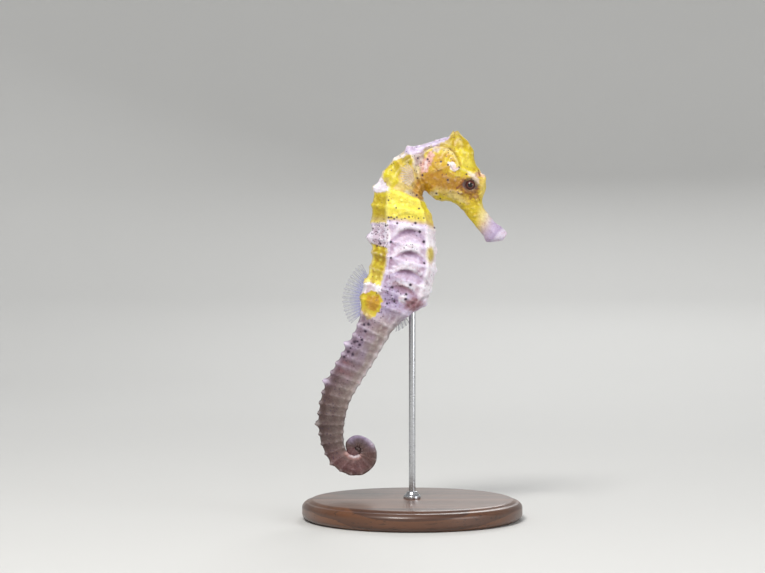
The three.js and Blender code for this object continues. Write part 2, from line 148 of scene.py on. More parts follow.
# how much further it is from the axis to the belly side: the coil is packed full on its inside
TAIL_BELLY_EXTRA = [
    [14, 0], [25, 0], [26, 0.03], [27, 0.3], [28, 0.8], [29, 1.35], [30, 1.6], [31, 1.65],
    [32, 1.6], [33, 1.4], [34, 0.95], [35, 0.65], [36, 0.6], [37, 1.1], [38, 2.7], [39, 2.5],
    [40, 2.0], [42, 1.15], [44, 0.8], [46, 0.65], [48, 0.55], [49, 0.4], [50, 0.1],
]
STEPS_PER_RING = 64
STEPS = STEPS_PER_RING * (TIP - TAIL_BEGINS)
tail_rings = np.linspace(TAIL_BEGINS, TIP, STEPS + 1)
half_way = (tail_rings[1:] + tail_rings[:-1]) / 2
heading = np.radians(along(TAIL_HEADING, half_way))
stride = along(TAIL_PITCH, half_way) * (TIP - TAIL_BEGINS) / STEPS
tail_x = np.append(TAIL_START[0], TAIL_START[0] - np.cumsum(np.sin(heading) * stride))
tail_z = np.append(TAIL_START[1], TAIL_START[1] - np.cumsum(np.cos(heading) * stride))
print("tail length", round(float(stride.sum()), 1), "mm")

# %% The two lines as one function
def tail_lines(v):
    """Back and belly points of the tail, as two arrays of x and z."""
    axis = np.stack([np.interp(v, tail_rings, tail_x), np.interp(v, tail_rings, tail_z)], -1)
    lean = np.radians(along(TAIL_RING_LEAN, v))
    tilt = np.radians(along(TAIL_HEADING, v)) + lean
    to_back = np.stack([-np.cos(tilt), np.sin(tilt)], -1)
    back_way = (along(TAIL_HALF_DEPTH, v) / np.cos(lean))[..., None]
    belly_way = back_way + along(TAIL_BELLY_EXTRA, v)[..., None]
    return axis + to_back * back_way, axis - to_back * belly_way


def body_lines(v):
    """Back and belly points of the whole animal at rings v."""
    v = np.asarray(v, float)
    table = keyed(BODY_LINES, v)
    back, belly = tail_lines(np.maximum(v, TAIL_BEGINS))
    join = keyed(BODY_LINES, TAIL_BEGINS)
    first_back, first_belly = tail_lines(float(TAIL_BEGINS))
    fade = (1 - smooth(TAIL_BEGINS, TAIL_BEGINS + 3, v))[..., None]
    on_tail = (v > TAIL_BEGINS)[..., None]
    back = np.where(on_tail, back + (join[:2] - first_back) * fade, table[..., :2])
    belly = np.where(on_tail, belly + (join[2:] - first_belly) * fade, table[..., 2:])
    return back, belly


print("back and belly at ring 7:", [line.round(1).tolist() for line in body_lines(7)])

# %% [markdown]
# ## A grid over the skin
# The skin is one closed tube of quads from lips to tail tip. Its rows are spaced evenly along the
# body and its columns evenly round each ring, so no quad is much bigger than its neighbour and
# small spines come out as sharp as the grid allows.

# %% Width and shape of a ring
HALF_WIDTH = [
    [-13, 1.45], [-12, 1.9], [-11, 1.65], [-9.5, 1.75], [-8, 2.4], [-7, 3.1], [-6, 3.7],
    [-5, 4.0], [-4, 4.2], [-3, 4.6], [-2, 4.9], [-1, 4.8], [0, 4.4], [1, 4.3], [2, 4.5],
    [3, 4.8], [4, 5.1], [5, 5.6], [6, 6.0], [7, 6.3], [8, 6.4], [9, 6.2], [10, 5.8], [11, 5.2],
    [12, 4.7], [14, 4.3], [19, 3.6], [23, 3.1], [26, 2.6], [29, 2.1], [33, 1.6], [37, 1.2],
    [42, 0.85], [48, 0.3],
]
# 2 is an oval, more is squarer: head and snout are round, the tail is four-sided
SQUARENESS = [[-13, 2], [-6, 2.1], [0, 2.2], [6, 2.4], [11, 2.7], [14, 4], [30, 4], [48, 2.5]]
# positive is broad at the back, negative is broad at the underside
BROAD_BACK = [[-13, 0], [-5, -0.05], [-2, -0.22], [0, -0.05], [4, 0.08], [9, 0.12], [14, 0]]


def section(v, phi):
    """Place on ring v at angle phi from the back: (towards the back, sideways)."""
    back, belly = body_lines(v)
    half_depth = np.linalg.norm(back - belly, axis=-1) / 2
    power = 2 / along(SQUARENESS, v)
    up = np.sign(np.cos(phi)) * np.abs(np.cos(phi)) ** power
    side = np.sign(np.sin(phi)) * np.abs(np.sin(phi)) ** power
    broad = 1 + along(BROAD_BACK, v) * np.cos(phi)
    return up * half_depth, side * along(HALF_WIDTH, v) * broad


print("width at ring 8:", 2 * float(along(HALF_WIDTH, 8)), "mm")

# %% Rows evenly along the body
ROW_STEP, DENSE_STEPS = 0.21, 8000
dense = np.linspace(MOUTH, TIP, DENSE_STEPS + 1)
dense_back, dense_belly = body_lines(dense)
moves = [np.linalg.norm(np.diff(line, axis=0), axis=1) for line in (dense_back, dense_belly)]
run = np.append(0, np.cumsum(np.maximum(*moves)))
ROWS = int(run[-1] / ROW_STEP)
rows_v = np.interp(np.linspace(0, run[-1], ROWS), run, dense)
print("rows of the skin:", ROWS)

# %% Columns evenly round each ring
HALF_COLUMNS, QUARTER_STEPS = 90, 240
COLUMNS = 2 * HALF_COLUMNS
quarter = np.linspace(0, 1, QUARTER_STEPS + 1)
quarter = quarter**2 * (3 - 2 * quarter) * math.pi / 2
fine_phi = np.concatenate([quarter, quarter[1:] + math.pi / 2])
fine_up, fine_side = section(rows_v[:, None], fine_phi[None, :])
pieces_of_arc = np.hypot(np.diff(fine_up, axis=1), np.diff(fine_side, axis=1))
fine_arc = np.hstack([np.zeros((ROWS, 1)), np.cumsum(pieces_of_arc, axis=1)])
even = np.linspace(0, 1, HALF_COLUMNS + 1)
half_phi = np.array([np.interp(even * arc[-1], arc, fine_phi) for arc in fine_arc])
half_arc = fine_arc[:, -1:] * even[None, :]
# for every vertex: angle from the back, mm round the ring, ring number, 1 on the left or -1
mirror = slice(-2, 0, -1)
PHI = np.hstack([half_phi, -half_phi[:, mirror]])
ARC = np.hstack([half_arc, half_arc[:, mirror]])
V = np.repeat(rows_v[:, None], COLUMNS, axis=1)
SIDE = np.sign(np.sin(PHI))
print("columns:", COLUMNS, " longest way round:", round(float(2 * fine_arc[:, -1].max()), 1), "mm")

# %% Points and normals of the smooth body
# P holds the points of the smooth body and N its outward normals
back_line, belly_line = body_lines(rows_v)
middle = (back_line + belly_line) / 2
to_back = back_line - middle
to_back /= np.linalg.norm(to_back, axis=1, keepdims=True)
up, sideways = section(V, PHI)
P = np.stack([
    middle[:, None, 0] + to_back[:, None, 0] * up,
    sideways,
    middle[:, None, 1] + to_back[:, None, 1] * up,
], -1)


def grid_normals(points):
    """Outward normals of a grid that closes round its columns."""
    round_way = np.roll(points, -1, axis=1) - np.roll(points, 1, axis=1)
    long_way = np.gradient(points, axis=0)
    normal = np.cross(long_way, round_way)
    normal /= np.linalg.norm(normal, axis=-1, keepdims=True) + 1e-12
    outward = points - points.mean(axis=1, keepdims=True)
    return normal * np.sign(np.sum(normal * outward, axis=(1, 2)))[:, None, None]


N = grid_normals(P)
pitch_mm = np.linalg.norm(np.gradient(P, axis=0), axis=-1) / np.gradient(rows_v)[:, None]
print("vertices on the skin:", P.shape[0] * P.shape[1])


def grain(size, shift):
    """Soft random values over the skin, between about -1 and 1, with lumps of that size."""
    flat = P.reshape(-1, 3) / size + shift
    return np.array([noise.noise(Vector(p)) for p in flat]).reshape(V.shape) * 1.6

# %% [markdown]
# ## Ridges, hollows and spines
# Where the bony plates of neighbouring rings meet, the skin stands up in lengthwise ridges: two
# along the back, one on each flank, one low on each side and a keel down the belly. Between two
# rings the skin sinks into a shallow dish. Where a ring crosses a ridge there is a blunt spine,
# and every few rings a taller one. These are real shapes in the mesh, because they make the
# outline and catch the light. Only the finest granules are left to the material.

# %% Where the ridges run
UPPER_RIDGE = [[0, 24], [9, 24], [12, 36], [14, 42], [16, 43], [48, 43]]
SIDE_RIDGE, LOWER_RIDGE, KEEL = 64, 135, 180
RIDGE_WIDTH = [[0, 1.0], [11, 0.9], [14, 0.7], [23, 0.55], [30, 0.4], [40, 0.2], [48, 0.1]]
upper_arc = np.array([
    np.interp(math.radians(angle), fine_phi, arc)
    for angle, arc in zip(along(UPPER_RIDGE, rows_v), fine_arc)
])
side_arc, lower_arc, keel_arc = [
    np.array([np.interp(math.radians(angle), fine_phi, arc) for arc in fine_arc])
    for angle in (SIDE_RIDGE, LOWER_RIDGE, KEEL)
]
width = along(RIDGE_WIDTH, rows_v)[:, None]
trunk_only = 1 - smooth(11.5, 13, V)
on_upper = hump(ARC - upper_arc[:, None], width)
on_side = hump(ARC - side_arc[:, None], width * 0.8) * trunk_only
on_lower = hump(ARC - lower_arc[:, None], width)
on_keel = hump(ARC - keel_arc[:, None], width) * trunk_only
on_back = hump(ARC, width)
on_any = np.maximum.reduce([on_upper, on_side, on_lower, on_keel])
print("share of the skin on a ridge:", round(float((on_any > 0.5).mean()), 3))

# %% Relief of the plates
FOLD_HEIGHT = [
    [3, 0], [4, 0.25], [5, 0.3], [6, 0.5], [9, 0.5], [10.3, 0.3], [11.5, 0], [12, 0], [48, 0],
]
# how far behind each ring its fold ends in a step, at the highest part of the arch
FOLD_PLACE = [[3, 0.5], [4.5, 0.47], [6.24, 0.20], [7.46, 0.42], [8.49, 0.45], [10, 0.4]]
RIDGE_RISE = [
    [0, 0], [2, 0.2], [9, 0.28], [10.5, 0.12], [11.5, 0.12], [13, 0.35], [15, 0.5], [22, 0.42],
    [30, 0.15], [48, 0.02],
]
BACK_SINK = [[0, 0], [2, 0.15], [11, 0.25], [20, 0.2], [48, 0.02]]
HOLLOW = [
    [0, 0], [1.5, 0.3], [4, 0.38], [6, 0.46], [11, 0.4], [14, 0.36], [24, 0.28], [30, 0.17],
    [36, 0.09], [48, 0.01],
]
ringed = smooth(0.3, 1.2, V)
past_ring = V - np.floor(V)
dish = np.sin(math.pi * past_ring**0.8) ** 1.3
from_ring = np.abs(V - np.round(V)) * pitch_mm
crest = hump(from_ring, 0.16 * along(TAIL_PITCH, V) + 0.05)
relief = along(RIDGE_RISE, V) * on_any - along(BACK_SINK, V) * on_back
on_tail_side = smooth(12, 14, V) * (1 - on_any)
relief -= along(HOLLOW, V) * dish * (1 - 0.55 * on_any) * (1 - 0.6 * on_tail_side)
relief += 0.1 * along(HOLLOW, V) * crest
relief *= ringed * (1 - 0.6 * smooth(0.2, 1.2, ARC - lower_arc[:, None]) * trunk_only)
flank_share = np.clip((ARC - side_arc[:, None]) / (lower_arc - side_arc)[:, None], 0, 1)
arch = along(FOLD_PLACE, V) + 2.2 * (flank_share - 0.624) ** 2
after_step = (V - arch) % 1
fold = smooth(0, 0.8, after_step) * smooth(1.0, 0.84, after_step)
on_flank = np.sin(math.pi * flank_share) ** 0.7
relief += along(FOLD_HEIGHT, V) * (fold - 0.35) * on_flank**2.2
print("deepest dish", round(float(-relief.min()), 2), "mm")

# %% [markdown]
# ### Spines
# Where a ring crosses a ridge, the bone ends in a point. Separate cones would leave a hard seam
# at their foot, so each spine is raised from the skin itself: every point near the crossing is
# pushed out by a profile that falls to nothing at the spine's foot.

# %% Sizes of the spines
SPINE_HEIGHT = [
    [0, 0.1], [1, 0.2], [11, 0.2], [14, 0.5], [20, 0.6], [28, 0.3], [32, 0.16], [48, 0.02],
]
SPINE_BASE = [[0, 1.2], [11, 1.3], [15, 1.25], [23, 1.1], [30, 0.7], [38, 0.4], [48, 0.12]]
TALL_SPINES = {1: 0.7, 4: 0.7, 7: 1.5, 10: 0.7, 15: 1.2, 19: 1.1, 23: 0.9, 27: 0.5}
WIDEST_SPINE = 7
LOW_SHARE, SPREAD = 0.45, 0.6
SPINY_RINGS, TRUNK_RINGS, BELLY_RINGS = range(1, 47), range(1, 13), range(6, 11)
# ring, share of the way to the upper ridge: small skin tags round the hips
SKIN_TAGS = [
    (9.8, 0.5), (10.1, 1.2), (9.85, 1.9), (10.2, 2.4), (9.95, 3.0), (10.3, 3.5), (10.15, 0.2),
]
print("tall spines at rings:", list(TALL_SPINES))

# %% How one spine is raised
def thorn(t, point):
    """Profile of a spine: 1 at its tip, 0 at its foot. point 0 is a round knob, 1 a thorn."""
    t = np.clip(t, 0, 1)
    return point * (1 - t) ** 1.35 + (1 - point) * (1 - t * t) ** 2


def raise_spine(shift, ring, arc_at, height, base, point):
    """Pushes out the skin round the spot where ring crosses the ridge at arc_at."""
    row = int(np.argmin(np.abs(rows_v - ring)))
    reach = int(base / ROW_STEP * 2.2) + 2
    near = slice(max(row - reach, 0), min(row + reach, ROWS))
    lengthwise = (V[near] - ring) * pitch_mm[near]
    crosswise = ARC[near] - arc_at[row]
    rise = height * thorn(np.hypot(lengthwise, crosswise) / base, point)
    phi = np.interp(arc_at[row], fine_arc[row], fine_phi)
    flat = to_back[row] * math.cos(phi)
    for side in (-1, 1):
        way = np.array([flat[0], side * math.sin(phi) * SPREAD, flat[1]])
        way /= np.linalg.norm(way)
        here = (SIDE[near] == side) | ((SIDE[near] == 0) & (side == 1))
        shift[near] += np.where(here, rise, 0)[..., None] * way


print("half way down a thorn:", round(float(thorn(0.5, 1)), 2), "of its height")

# %% Spines where rings cross ridges
spines = np.zeros_like(P)
for ring in SPINY_RINGS:
    on_trunk = ring in TRUNK_RINGS
    ordinary = float(along(SPINE_HEIGHT, ring))
    base = float(along(SPINE_BASE, ring))
    point = 0.1 if on_trunk else 0.6
    if on_trunk:
        raise_spine(spines, ring, upper_arc, ordinary, base, point)
    else:
        raise_spine(spines, ring, upper_arc, ordinary * 1.35, base * 0.85, 0.8)
    if ring in TALL_SPINES:
        wide = base * (2.1 if ring == WIDEST_SPINE else 1.7)
        raise_spine(spines, ring, upper_arc, TALL_SPINES[ring], wide, point)
    raise_spine(spines, ring, lower_arc, ordinary * LOW_SHARE, base, 0.3)
    if on_trunk:
        raise_spine(spines, ring, side_arc, ordinary * LOW_SHARE, base * 0.8, 0.2)
        raise_spine(spines, ring, keel_arc, 0.4 if ring in BELLY_RINGS else 0.06, base * 1.2, 0.0)
for ring, share in SKIN_TAGS:
    raise_spine(spines, ring, upper_arc * share, 0.9, 0.5, 0.9)
print("rings with spines:", len(SPINY_RINGS))

# %% [markdown]
# ## The head
# The head is smooth where the body is ringed. On top sits the coronet, a small crown of bone. The
# gill cover is a low dome with a sharp upper edge. Each eye turns in a raised ring of skin, with
# a spine above it, and the snout ends in lips that face a little upward.

# %% Lumps of the head
# x, y, z, reach, height: each lump is on both sides
HEAD_LUMPS = {
    "eye turret": (17.2, 4.0, 99.8, 3.0, 0.5),
    "eye spine": (21.8, 1.8, 102.7, 1.15, 1.15),
    "brow spine": (20.2, 0.0, 104.6, 1.0, 0.35),
    "cheek": (8.4, 4.8, 102.5, 4.5, 0.2),
    "cheek spine": (14.1, 2.3, 94.4, 0.9, 0.4),
    "jaw bump": (7.4, 2.2, 97.2, 0.9, 0.3),
    "rear jaw bump": (9.0, 2.0, 95.6, 0.9, 0.3),
    "nape spine": (-1.5, 0.8, 111.6, 1.0, 0.45),
    "jaw knob": (5.6, 1.8, 97.9, 0.8, 0.35),
    "front of the crest": (16.4, 0.0, 113.0, 0.7, 0.35),
    "low front of the crest": (17.7, 0.0, 110.4, 0.7, 0.3),
    "rear of the crest": (9.6, 0.0, 114.3, 0.7, 0.3),
    "upper orbit": (18.6, 3.6, 102.9, 0.8, 0.3),
    "front of the orbit": (20.6, 2.6, 99.8, 0.8, 0.2),
}
# x, z of the first end, x, z of the second end, reach, height: low ridges of bone
HEAD_RIDGES = {
    "nape to crest": (1.0, 110.6, 9.4, 112.6, 0.5, 0.3),
    "under the nape": (2.2, 108.6, 7.0, 110.9, 0.4, 0.2),
    "side of the crest": (10.2, 110.2, 12.9, 114.9, 0.6, 0.35),
    "front side of the crest": (13.6, 114.6, 15.2, 109.6, 0.6, 0.25),
    "brow": (13.4, 105.0, 18.2, 103.2, 0.7, 0.35),
    "cheek": (11.4, 98.4, 15.6, 97.2, 0.5, 0.25),
    "snout side": (18.6, 96.4, 23.4, 88.8, 0.5, 0.18),
}
for x, y, z, reach, height in HEAD_LUMPS.values():
    away = np.sqrt((P[..., 0] - x) ** 2 + (np.abs(P[..., 1]) - y) ** 2 + (P[..., 2] - z) ** 2)
    relief += height * hump(away, reach)
for x, z, x_end, z_end, reach, height in HEAD_RIDGES.values():
    away = from_segment(P[..., 0], P[..., 2], (x, z), (x_end, z_end))
    relief += 1.2 * height * hump(away, reach) * smooth(2.5, 1.0, V)
print("lumps:", len(HEAD_LUMPS), " ridges:", len(HEAD_RIDGES))

# %% The gill cover
GILL_CENTRE, GILL_RADII = (7.7, 104.0), (6.4, 7.3)
gill_x = (P[..., 0] - GILL_CENTRE[0]) / GILL_RADII[0]
gill_z = (P[..., 2] - GILL_CENTRE[1]) / GILL_RADII[1]
gill = np.hypot(gill_x, gill_z)
gill_way = np.degrees(np.arctan2(gill_z, gill_x))
on_head = 1 - smooth(1.2, 2.2, V)
sharp = smooth(-5, 30, gill_way) * smooth(150, 120, gill_way)
sharp = np.maximum(sharp, smooth(135, 170, np.abs(gill_way)) * 0.6)
edge = smooth(1.05, 0.95, gill) * (0.2 + 0.8 * sharp)
groove = hump(gill - 1.08, 0.05) * (0.15 + 0.85 * sharp)
GILL_RAYS, GILL_EDGE, GILL_DOME, GILL_GROOVE, GILL_RAY_HEIGHT = 22, 0.45, 0.4, 0.2, 0.06
gill_rays = np.sin(np.radians(gill_way) * GILL_RAYS)
gill_rays *= smooth(0.4, 0.75, gill) * smooth(1.0, 0.85, gill)
cover = GILL_EDGE * edge + GILL_DOME * np.clip(1 - gill**2, 0, 1) - GILL_GROOVE * groove
relief += (cover + GILL_RAY_HEIGHT * gill_rays) * on_head
print("share of the skin under the gill covers:", round(float((gill < 1).mean()), 3))

# %% Unevenness of grown skin
LIP_RING, LIP_GROOVE = -12.75, -12.05
relief += 0.08 * grain(2.2, 11.0) * smooth(MOUTH, -9, V)
warts = np.clip(grain(1.1, 5.0) - 0.1, 0, 1)
relief += 0.2 * warts * (1 - 0.6 * smooth(12, 16, V)) * smooth(-12.5, -9, V)
relief += 0.03 * grain(0.6, 9.0)
relief += 0.12 * hump(V - LIP_RING, 0.3) - 0.08 * hump(V - LIP_GROOVE, 0.16)
skin = P + N * relief[..., None] + spines
print("relief from", round(float(relief.min()), 2), "to", round(float(relief.max()), 2), "mm")

# %% [markdown]
# ### The coronet
# The crown of a seahorse is as individual as a fingerprint. Here five blunt points stand round a
# low hill. The hill is a profile by distance from its centre, and a cosine of the angle makes the
# points, so moving or reshaping the crown means changing a few numbers.

# %% The coronet
CORONET_CENTRE, CORONET_TOP, CORONET_POINTS, CORONET_SLIM = (12.9, 0.0), 116.15, 5, 0.75
# distance from its centre, height above the head's top
CORONET_PROFILE = [
    [0, 0.9], [0.3, 0.92], [0.6, 1.0], [0.95, 0.88], [1.7, 0.6], [2.6, 0.32], [3.6, 0.1], [4.6, 0],
]
CROWN_FOOT = 113.0
off_x = skin[..., 0] - CORONET_CENTRE[0]
off_y = skin[..., 1] / CORONET_SLIM
crown_angle = np.arctan2(off_y, off_x)
crown_out = np.hypot(off_x, off_y)
points_of_crown = np.cos(crown_angle * CORONET_POINTS)
reach = crown_out / (1 + 0.14 * points_of_crown * smooth(0.3, 1.2, crown_out))
crown = along(CORONET_PROFILE, reach) * smooth(110.5, 112.5, skin[..., 2]) * (V < 1)
crown *= 1 + 0.09 * points_of_crown * hump(reach - 0.8, 0.45)
crown *= 1 + 0.05 * np.cos(crown_angle * 13 + 1.0) * hump(reach - 1.6, 1.0)
target = CROWN_FOOT + (CORONET_TOP - CROWN_FOOT) * crown
lift = (np.maximum(target, skin[..., 2]) - skin[..., 2]) * smooth(0, 0.25, crown)
skin[..., 2] = np.where(crown > 0, skin[..., 2] + lift, skin[..., 2])
print("top of the coronet", round(float(skin[..., 2].max()), 2), "mm")

# %% [markdown]
# ### Lids
# The skin has no hole for the eye. It is raised into a ring, pulled tight round the ball and then
# pushed in behind it, so the ball later sits in a real socket with a rim that casts a shadow.

# %% Lids round the eyes
EYE_X, EYE_Y, EYE_Z, EYE_RADIUS = 17.2, 3.1, 99.8, 1.9
LID_RADIUS, LID_GAP, LID_EDGE = 1.42, 0.1, 0.06
TURRET_RADIUS, TURRET_HEIGHT = 2.3, 0.42
from_eye = np.hypot(skin[..., 0] - EYE_X, skin[..., 2] - EYE_Z)
near_eye = (from_eye < 5) & (np.abs(skin[..., 1]) > 1.5)
skin[..., 1] += SIDE * np.where(near_eye, TURRET_HEIGHT * hump(from_eye - TURRET_RADIUS, 0.5), 0)
pull = 0.85 * (from_eye - LID_RADIUS) * hump(from_eye - LID_RADIUS, 0.25)
scale = np.where(near_eye, (from_eye - pull) / np.maximum(from_eye, 1e-6), 1)
skin[..., 0] = EYE_X + (skin[..., 0] - EYE_X) * scale
skin[..., 2] = EYE_Z + (skin[..., 2] - EYE_Z) * scale
from_eye = np.hypot(skin[..., 0] - EYE_X, skin[..., 2] - EYE_Z)
ball = EYE_Y + np.sqrt(np.clip(EYE_RADIUS**2 - from_eye**2, 0, None))
lid = EYE_Y + math.sqrt(EYE_RADIUS**2 - LID_RADIUS**2) + LID_GAP
inside = np.where(near_eye, smooth(2.35, 1.8, from_eye), 0)
behind = smooth(LID_RADIUS + LID_EDGE, LID_RADIUS - LID_EDGE, from_eye)
wanted = lid * (1 - behind) + (ball - 0.5) * behind
skin[..., 1] += inside * (SIDE * wanted - skin[..., 1])
print("lid stands", round(lid, 2), "mm from the middle")

# %% [markdown]
# ## Closing the tube
# The lips roll inward and lead into a small dark mouth, so the snout isn't cut off flat. At the
# other end the tail tip closes in a point.

# %% Lips and tail tip
LIP, LIP_TURNS, MOUTH_DEPTH = 0.26, 6, 1.5
mouth_middle = skin[0].mean(axis=0)
mouth_way = mouth_middle - skin[6].mean(axis=0)
mouth_way /= np.linalg.norm(mouth_way)
inward = mouth_middle - skin[0]
radius = np.linalg.norm(inward, axis=1, keepdims=True)
inward /= radius
lips = []
for turn in np.linspace(0, math.pi, LIP_TURNS + 1)[1:]:
    lips.append(skin[0] + inward * LIP * (1 - math.cos(turn)) + mouth_way * LIP * math.sin(turn))
for share in (0.25, 0.55, 0.8, 1.0):
    shrink = 0.25 * share * (radius - 2 * LIP)
    lips.append(lips[LIP_TURNS - 1] + inward * shrink - mouth_way * MOUTH_DEPTH * share)
lips = np.array(lips[::-1])
LIP_ROWS = len(lips)
tube = np.concatenate([lips, skin])
ends = [tube[0].mean(axis=0), tube[-1].mean(axis=0) + (tube[-1] - tube[-4]).mean(axis=0) * 0.5]
print("rows with the lips:", len(tube))

# %% [markdown]
# ## From points to a mesh
# All shapes so far are only arrays of points. A mesh also needs faces, and a piece needs to know
# what it rides on and which plain solids it stands for. One helper does this for every piece of
# the lesson. Faces have to look outward: the sign of the volume tells.

# %% A piece from points and faces
def make_piece(name, points_mm, faces, slot, replaced=(), at=(0, 0, 0)):
    """A smooth mesh from points in millimetres. It rides on the body; slot is not used."""
    mesh = bpy.data.meshes.new(name)
    mesh.from_pydata((np.asarray(points_mm, float) * MM).tolist(), [], faces)
    mesh.polygons.foreach_set("use_smooth", [True] * len(mesh.polygons))
    mesh.update()
    piece = bpy.data.objects.new(name, mesh)
    bpy.context.collection.objects.link(piece)
    piece.location = [c * MM for c in at]
    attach(piece, "root")
    if replaced:
        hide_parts(*replaced)
    return piece


print("one metre is", round(1 / MM), "of the script's millimetres")

# %% Faces of a tube
def tube_faces(rows, columns, first_hub, last_hub):
    """Quads of a closed tube, and a fan at each end."""
    r, c = np.meshgrid(np.arange(rows - 1), np.arange(columns), indexing="ij")
    d = (c + 1) % columns
    here, below = r * columns, (r + 1) * columns
    quads = np.stack([here + c, below + c, below + d, here + d], -1)
    faces = quads.reshape(-1, 4).tolist()
    last = (rows - 1) * columns
    for i in range(columns):
        j = (i + 1) % columns
        faces.append([first_hub, i, j])
        faces.append([last_hub, last + j, last + i])
    return faces


print("faces of a tube of 3 rings of 8:", len(tube_faces(3, 8, 24, 25)))

# %% Faces that look outward
def signed_volume(points, faces):
    """Positive if the faces look outward."""
    quads = np.array([face if len(face) == 4 else face + face[-1:] for face in faces])
    a, b, c, d = (points[quads[:, i]] for i in range(4))
    return float(np.sum(a * np.cross(b, c)) + np.sum(a * np.cross(c, d))) / 6


def outward(points, faces):
    """The same faces, turned to look out."""
    if signed_volume(points, faces) < 0:
        faces = [face[::-1] for face in faces]
    return faces


wedge = np.array([[0, 0, 0], [1, 0, 0], [0, 1, 0], [0, 0, 1]])
wedge_faces = [[0, 2, 1], [0, 1, 3], [1, 2, 3], [2, 0, 3]]
print("volume of a wedge:", round(signed_volume(wedge, wedge_faces), 3))

# %% The skin as one mesh
all_points = np.concatenate([tube.reshape(-1, 3), np.array(ends)])
hubs = (len(all_points) - 2, len(all_points) - 1)
skin_faces = outward(all_points, tube_faces(len(tube), COLUMNS, *hubs))
FLESH = ["snout", "head", "coronet", "neck", "trunk_upper", "trunk_lower"]
FLESH += [f"tail_{i}" for i in range(1, 8)]
seahorse_skin = make_piece("seahorse_skin", all_points, skin_faces, "skin", FLESH)
millilitres = signed_volume(all_points, skin_faces) / 1000
print("faces of the skin:", len(skin_faces), " volume", round(millilitres, 2), "ml")

# %% [markdown]
# ### A flat map
# To bake a material into an image, every face needs a place of its own on a flat square. The skin
# is a long tube, so it is slit along the back, cut into four lengths and laid out two by two.

# %% A flat map of the skin
STRIPS, MARGIN = 4, 0.01
rows_all = len(tube)
uv_layer = seahorse_skin.data.uv_layers.new(name="OFBake")
strip_of_row = np.minimum(np.arange(rows_all) * STRIPS // rows_all, STRIPS - 1)


def map_place(row, column, strip):
    """Place on the flat map: four strips of the body, laid two by two."""
    low, high = rows_all * strip / STRIPS, rows_all * (strip + 1) / STRIPS
    u = MARGIN + 0.5 * (strip % 2) + (0.5 - 2 * MARGIN) * column / COLUMNS
    w = MARGIN + 0.5 * (strip // 2) + (0.5 - 2 * MARGIN) * (row - low) / (high - low)
    return u, w


uv = np.zeros((len(seahorse_skin.data.loops), 2))
loop_vertex = np.zeros(len(uv), int)
seahorse_skin.data.loops.foreach_get("vertex_index", loop_vertex)
is_hub = loop_vertex >= hubs[0]
loop_row = np.where(loop_vertex == hubs[0], 0, np.minimum(loop_vertex // COLUMNS, rows_all - 1))
loop_column = loop_vertex % COLUMNS
face_of_loop = np.repeat(np.arange(len(skin_faces)), [len(face) for face in skin_faces])
face_row = np.full(len(skin_faces), rows_all)
np.minimum.at(face_row, face_of_loop, loop_row)
face_high = np.zeros(len(skin_faces), int)
np.maximum.at(face_high, face_of_loop, np.where(is_hub, 0, loop_column))
wraps = (face_high[face_of_loop] == COLUMNS - 1) & (loop_column == 0)
loop_column = np.where(wraps, COLUMNS, loop_column)
loop_column = np.where(is_hub, face_high[face_of_loop], loop_column)
strip = strip_of_row[face_row[face_of_loop]]
uv[:, 0], uv[:, 1] = map_place(loop_row, loop_column, strip)
uv_layer.data.foreach_set("uv", uv.ravel())
print("map from", uv.min(axis=0).round(3), "to", uv.max(axis=0).round(3))

# %% [markdown]
# ## Painting the coat
# A model maker would spray thin layers over a cast: first the ground colours, then bands and
# blotches, then the fine dots with a brush. The script does the same. Each layer is a soft-edged
# mask times a colour, laid on both flanks, and kept on the mesh as a colour attribute. The nodes
# of the material add what is finer than the mesh: mottling, granules and crisp dots.

# %% Pots of colour
def pot(red, green, blue):
    """A paint, given as screen values from 0 to 255, in linear light."""
    c = np.array([red, green, blue]) / 255
    return np.where(c <= 0.04045, c / 12.92, ((c + 0.055) / 1.055) ** 2.4)


LEMON, BRIGHT_LEMON, YELLOW = pot(224, 207, 34), pot(248, 236, 84), pot(207, 184, 20)
MUSTARD, GOLD, OCHRE = pot(184, 162, 12), pot(194, 144, 16), pot(172, 122, 12)
OLIVE, STRAW, CREAM = pot(158, 142, 34), pot(226, 200, 108), pot(216, 202, 164)
WHITE, LAVENDER, LILAC = pot(248, 243, 250), pot(218, 206, 232), pot(172, 156, 190)
MAUVE, PINK, ROSE = pot(116, 82, 112), pot(222, 168, 158), pot(148, 98, 104)
PLUM, RUST, UMBER = pot(48, 26, 50), pot(110, 50, 24), pot(72, 50, 44)
GREY_PINK, SAND = pot(164, 144, 142), pot(142, 131, 124)
TAIL_LILAC, TAIL_BROWN, TAIL_PALE = pot(126, 106, 122), pot(88, 62, 54), pot(124, 108, 101)
print("cream in linear light:", CREAM.round(2))

# %% [markdown]
# ### Masks
# A mask says where a paint goes: 1 for all of it, 0 for none. Bands follow the rings, patches and
# strokes are drawn on the flank by their corners. Each edge is shifted a little by soft noise, as
# skin has no ruled lines.

# %% Bare coat and fields for the masks
FAR = 99.0
coat = np.zeros(P.shape) + CREAM
x_mm, z_mm = skin[..., 0], skin[..., 2]
wobble = grain(2.6, 31.0)
small_wobble = grain(0.9, 47.0)
from_side = ARC - side_arc[:, None]
from_lower = ARC - lower_arc[:, None]
depth_share = (1 - np.cos(PHI)) / 2
print("dabs of paint on the skin:", coat.shape[0] * coat.shape[1])

# %% Brushes
def blot(x, z, rx, rz, edge=0.3, rough=0.12):
    """Mask of an oval blotch at x, z on the flank."""
    return smooth(1 + edge, 1 - edge, np.hypot((x_mm - x) / rx, (z_mm - z) / rz) + rough * wobble)


def ring_band(first, last, edge=0.3, rough=0.1):
    """Mask of the rings from first to last."""
    v = V + rough * wobble
    return smooth(first - edge, first + edge, v) * smooth(last + edge, last - edge, v)


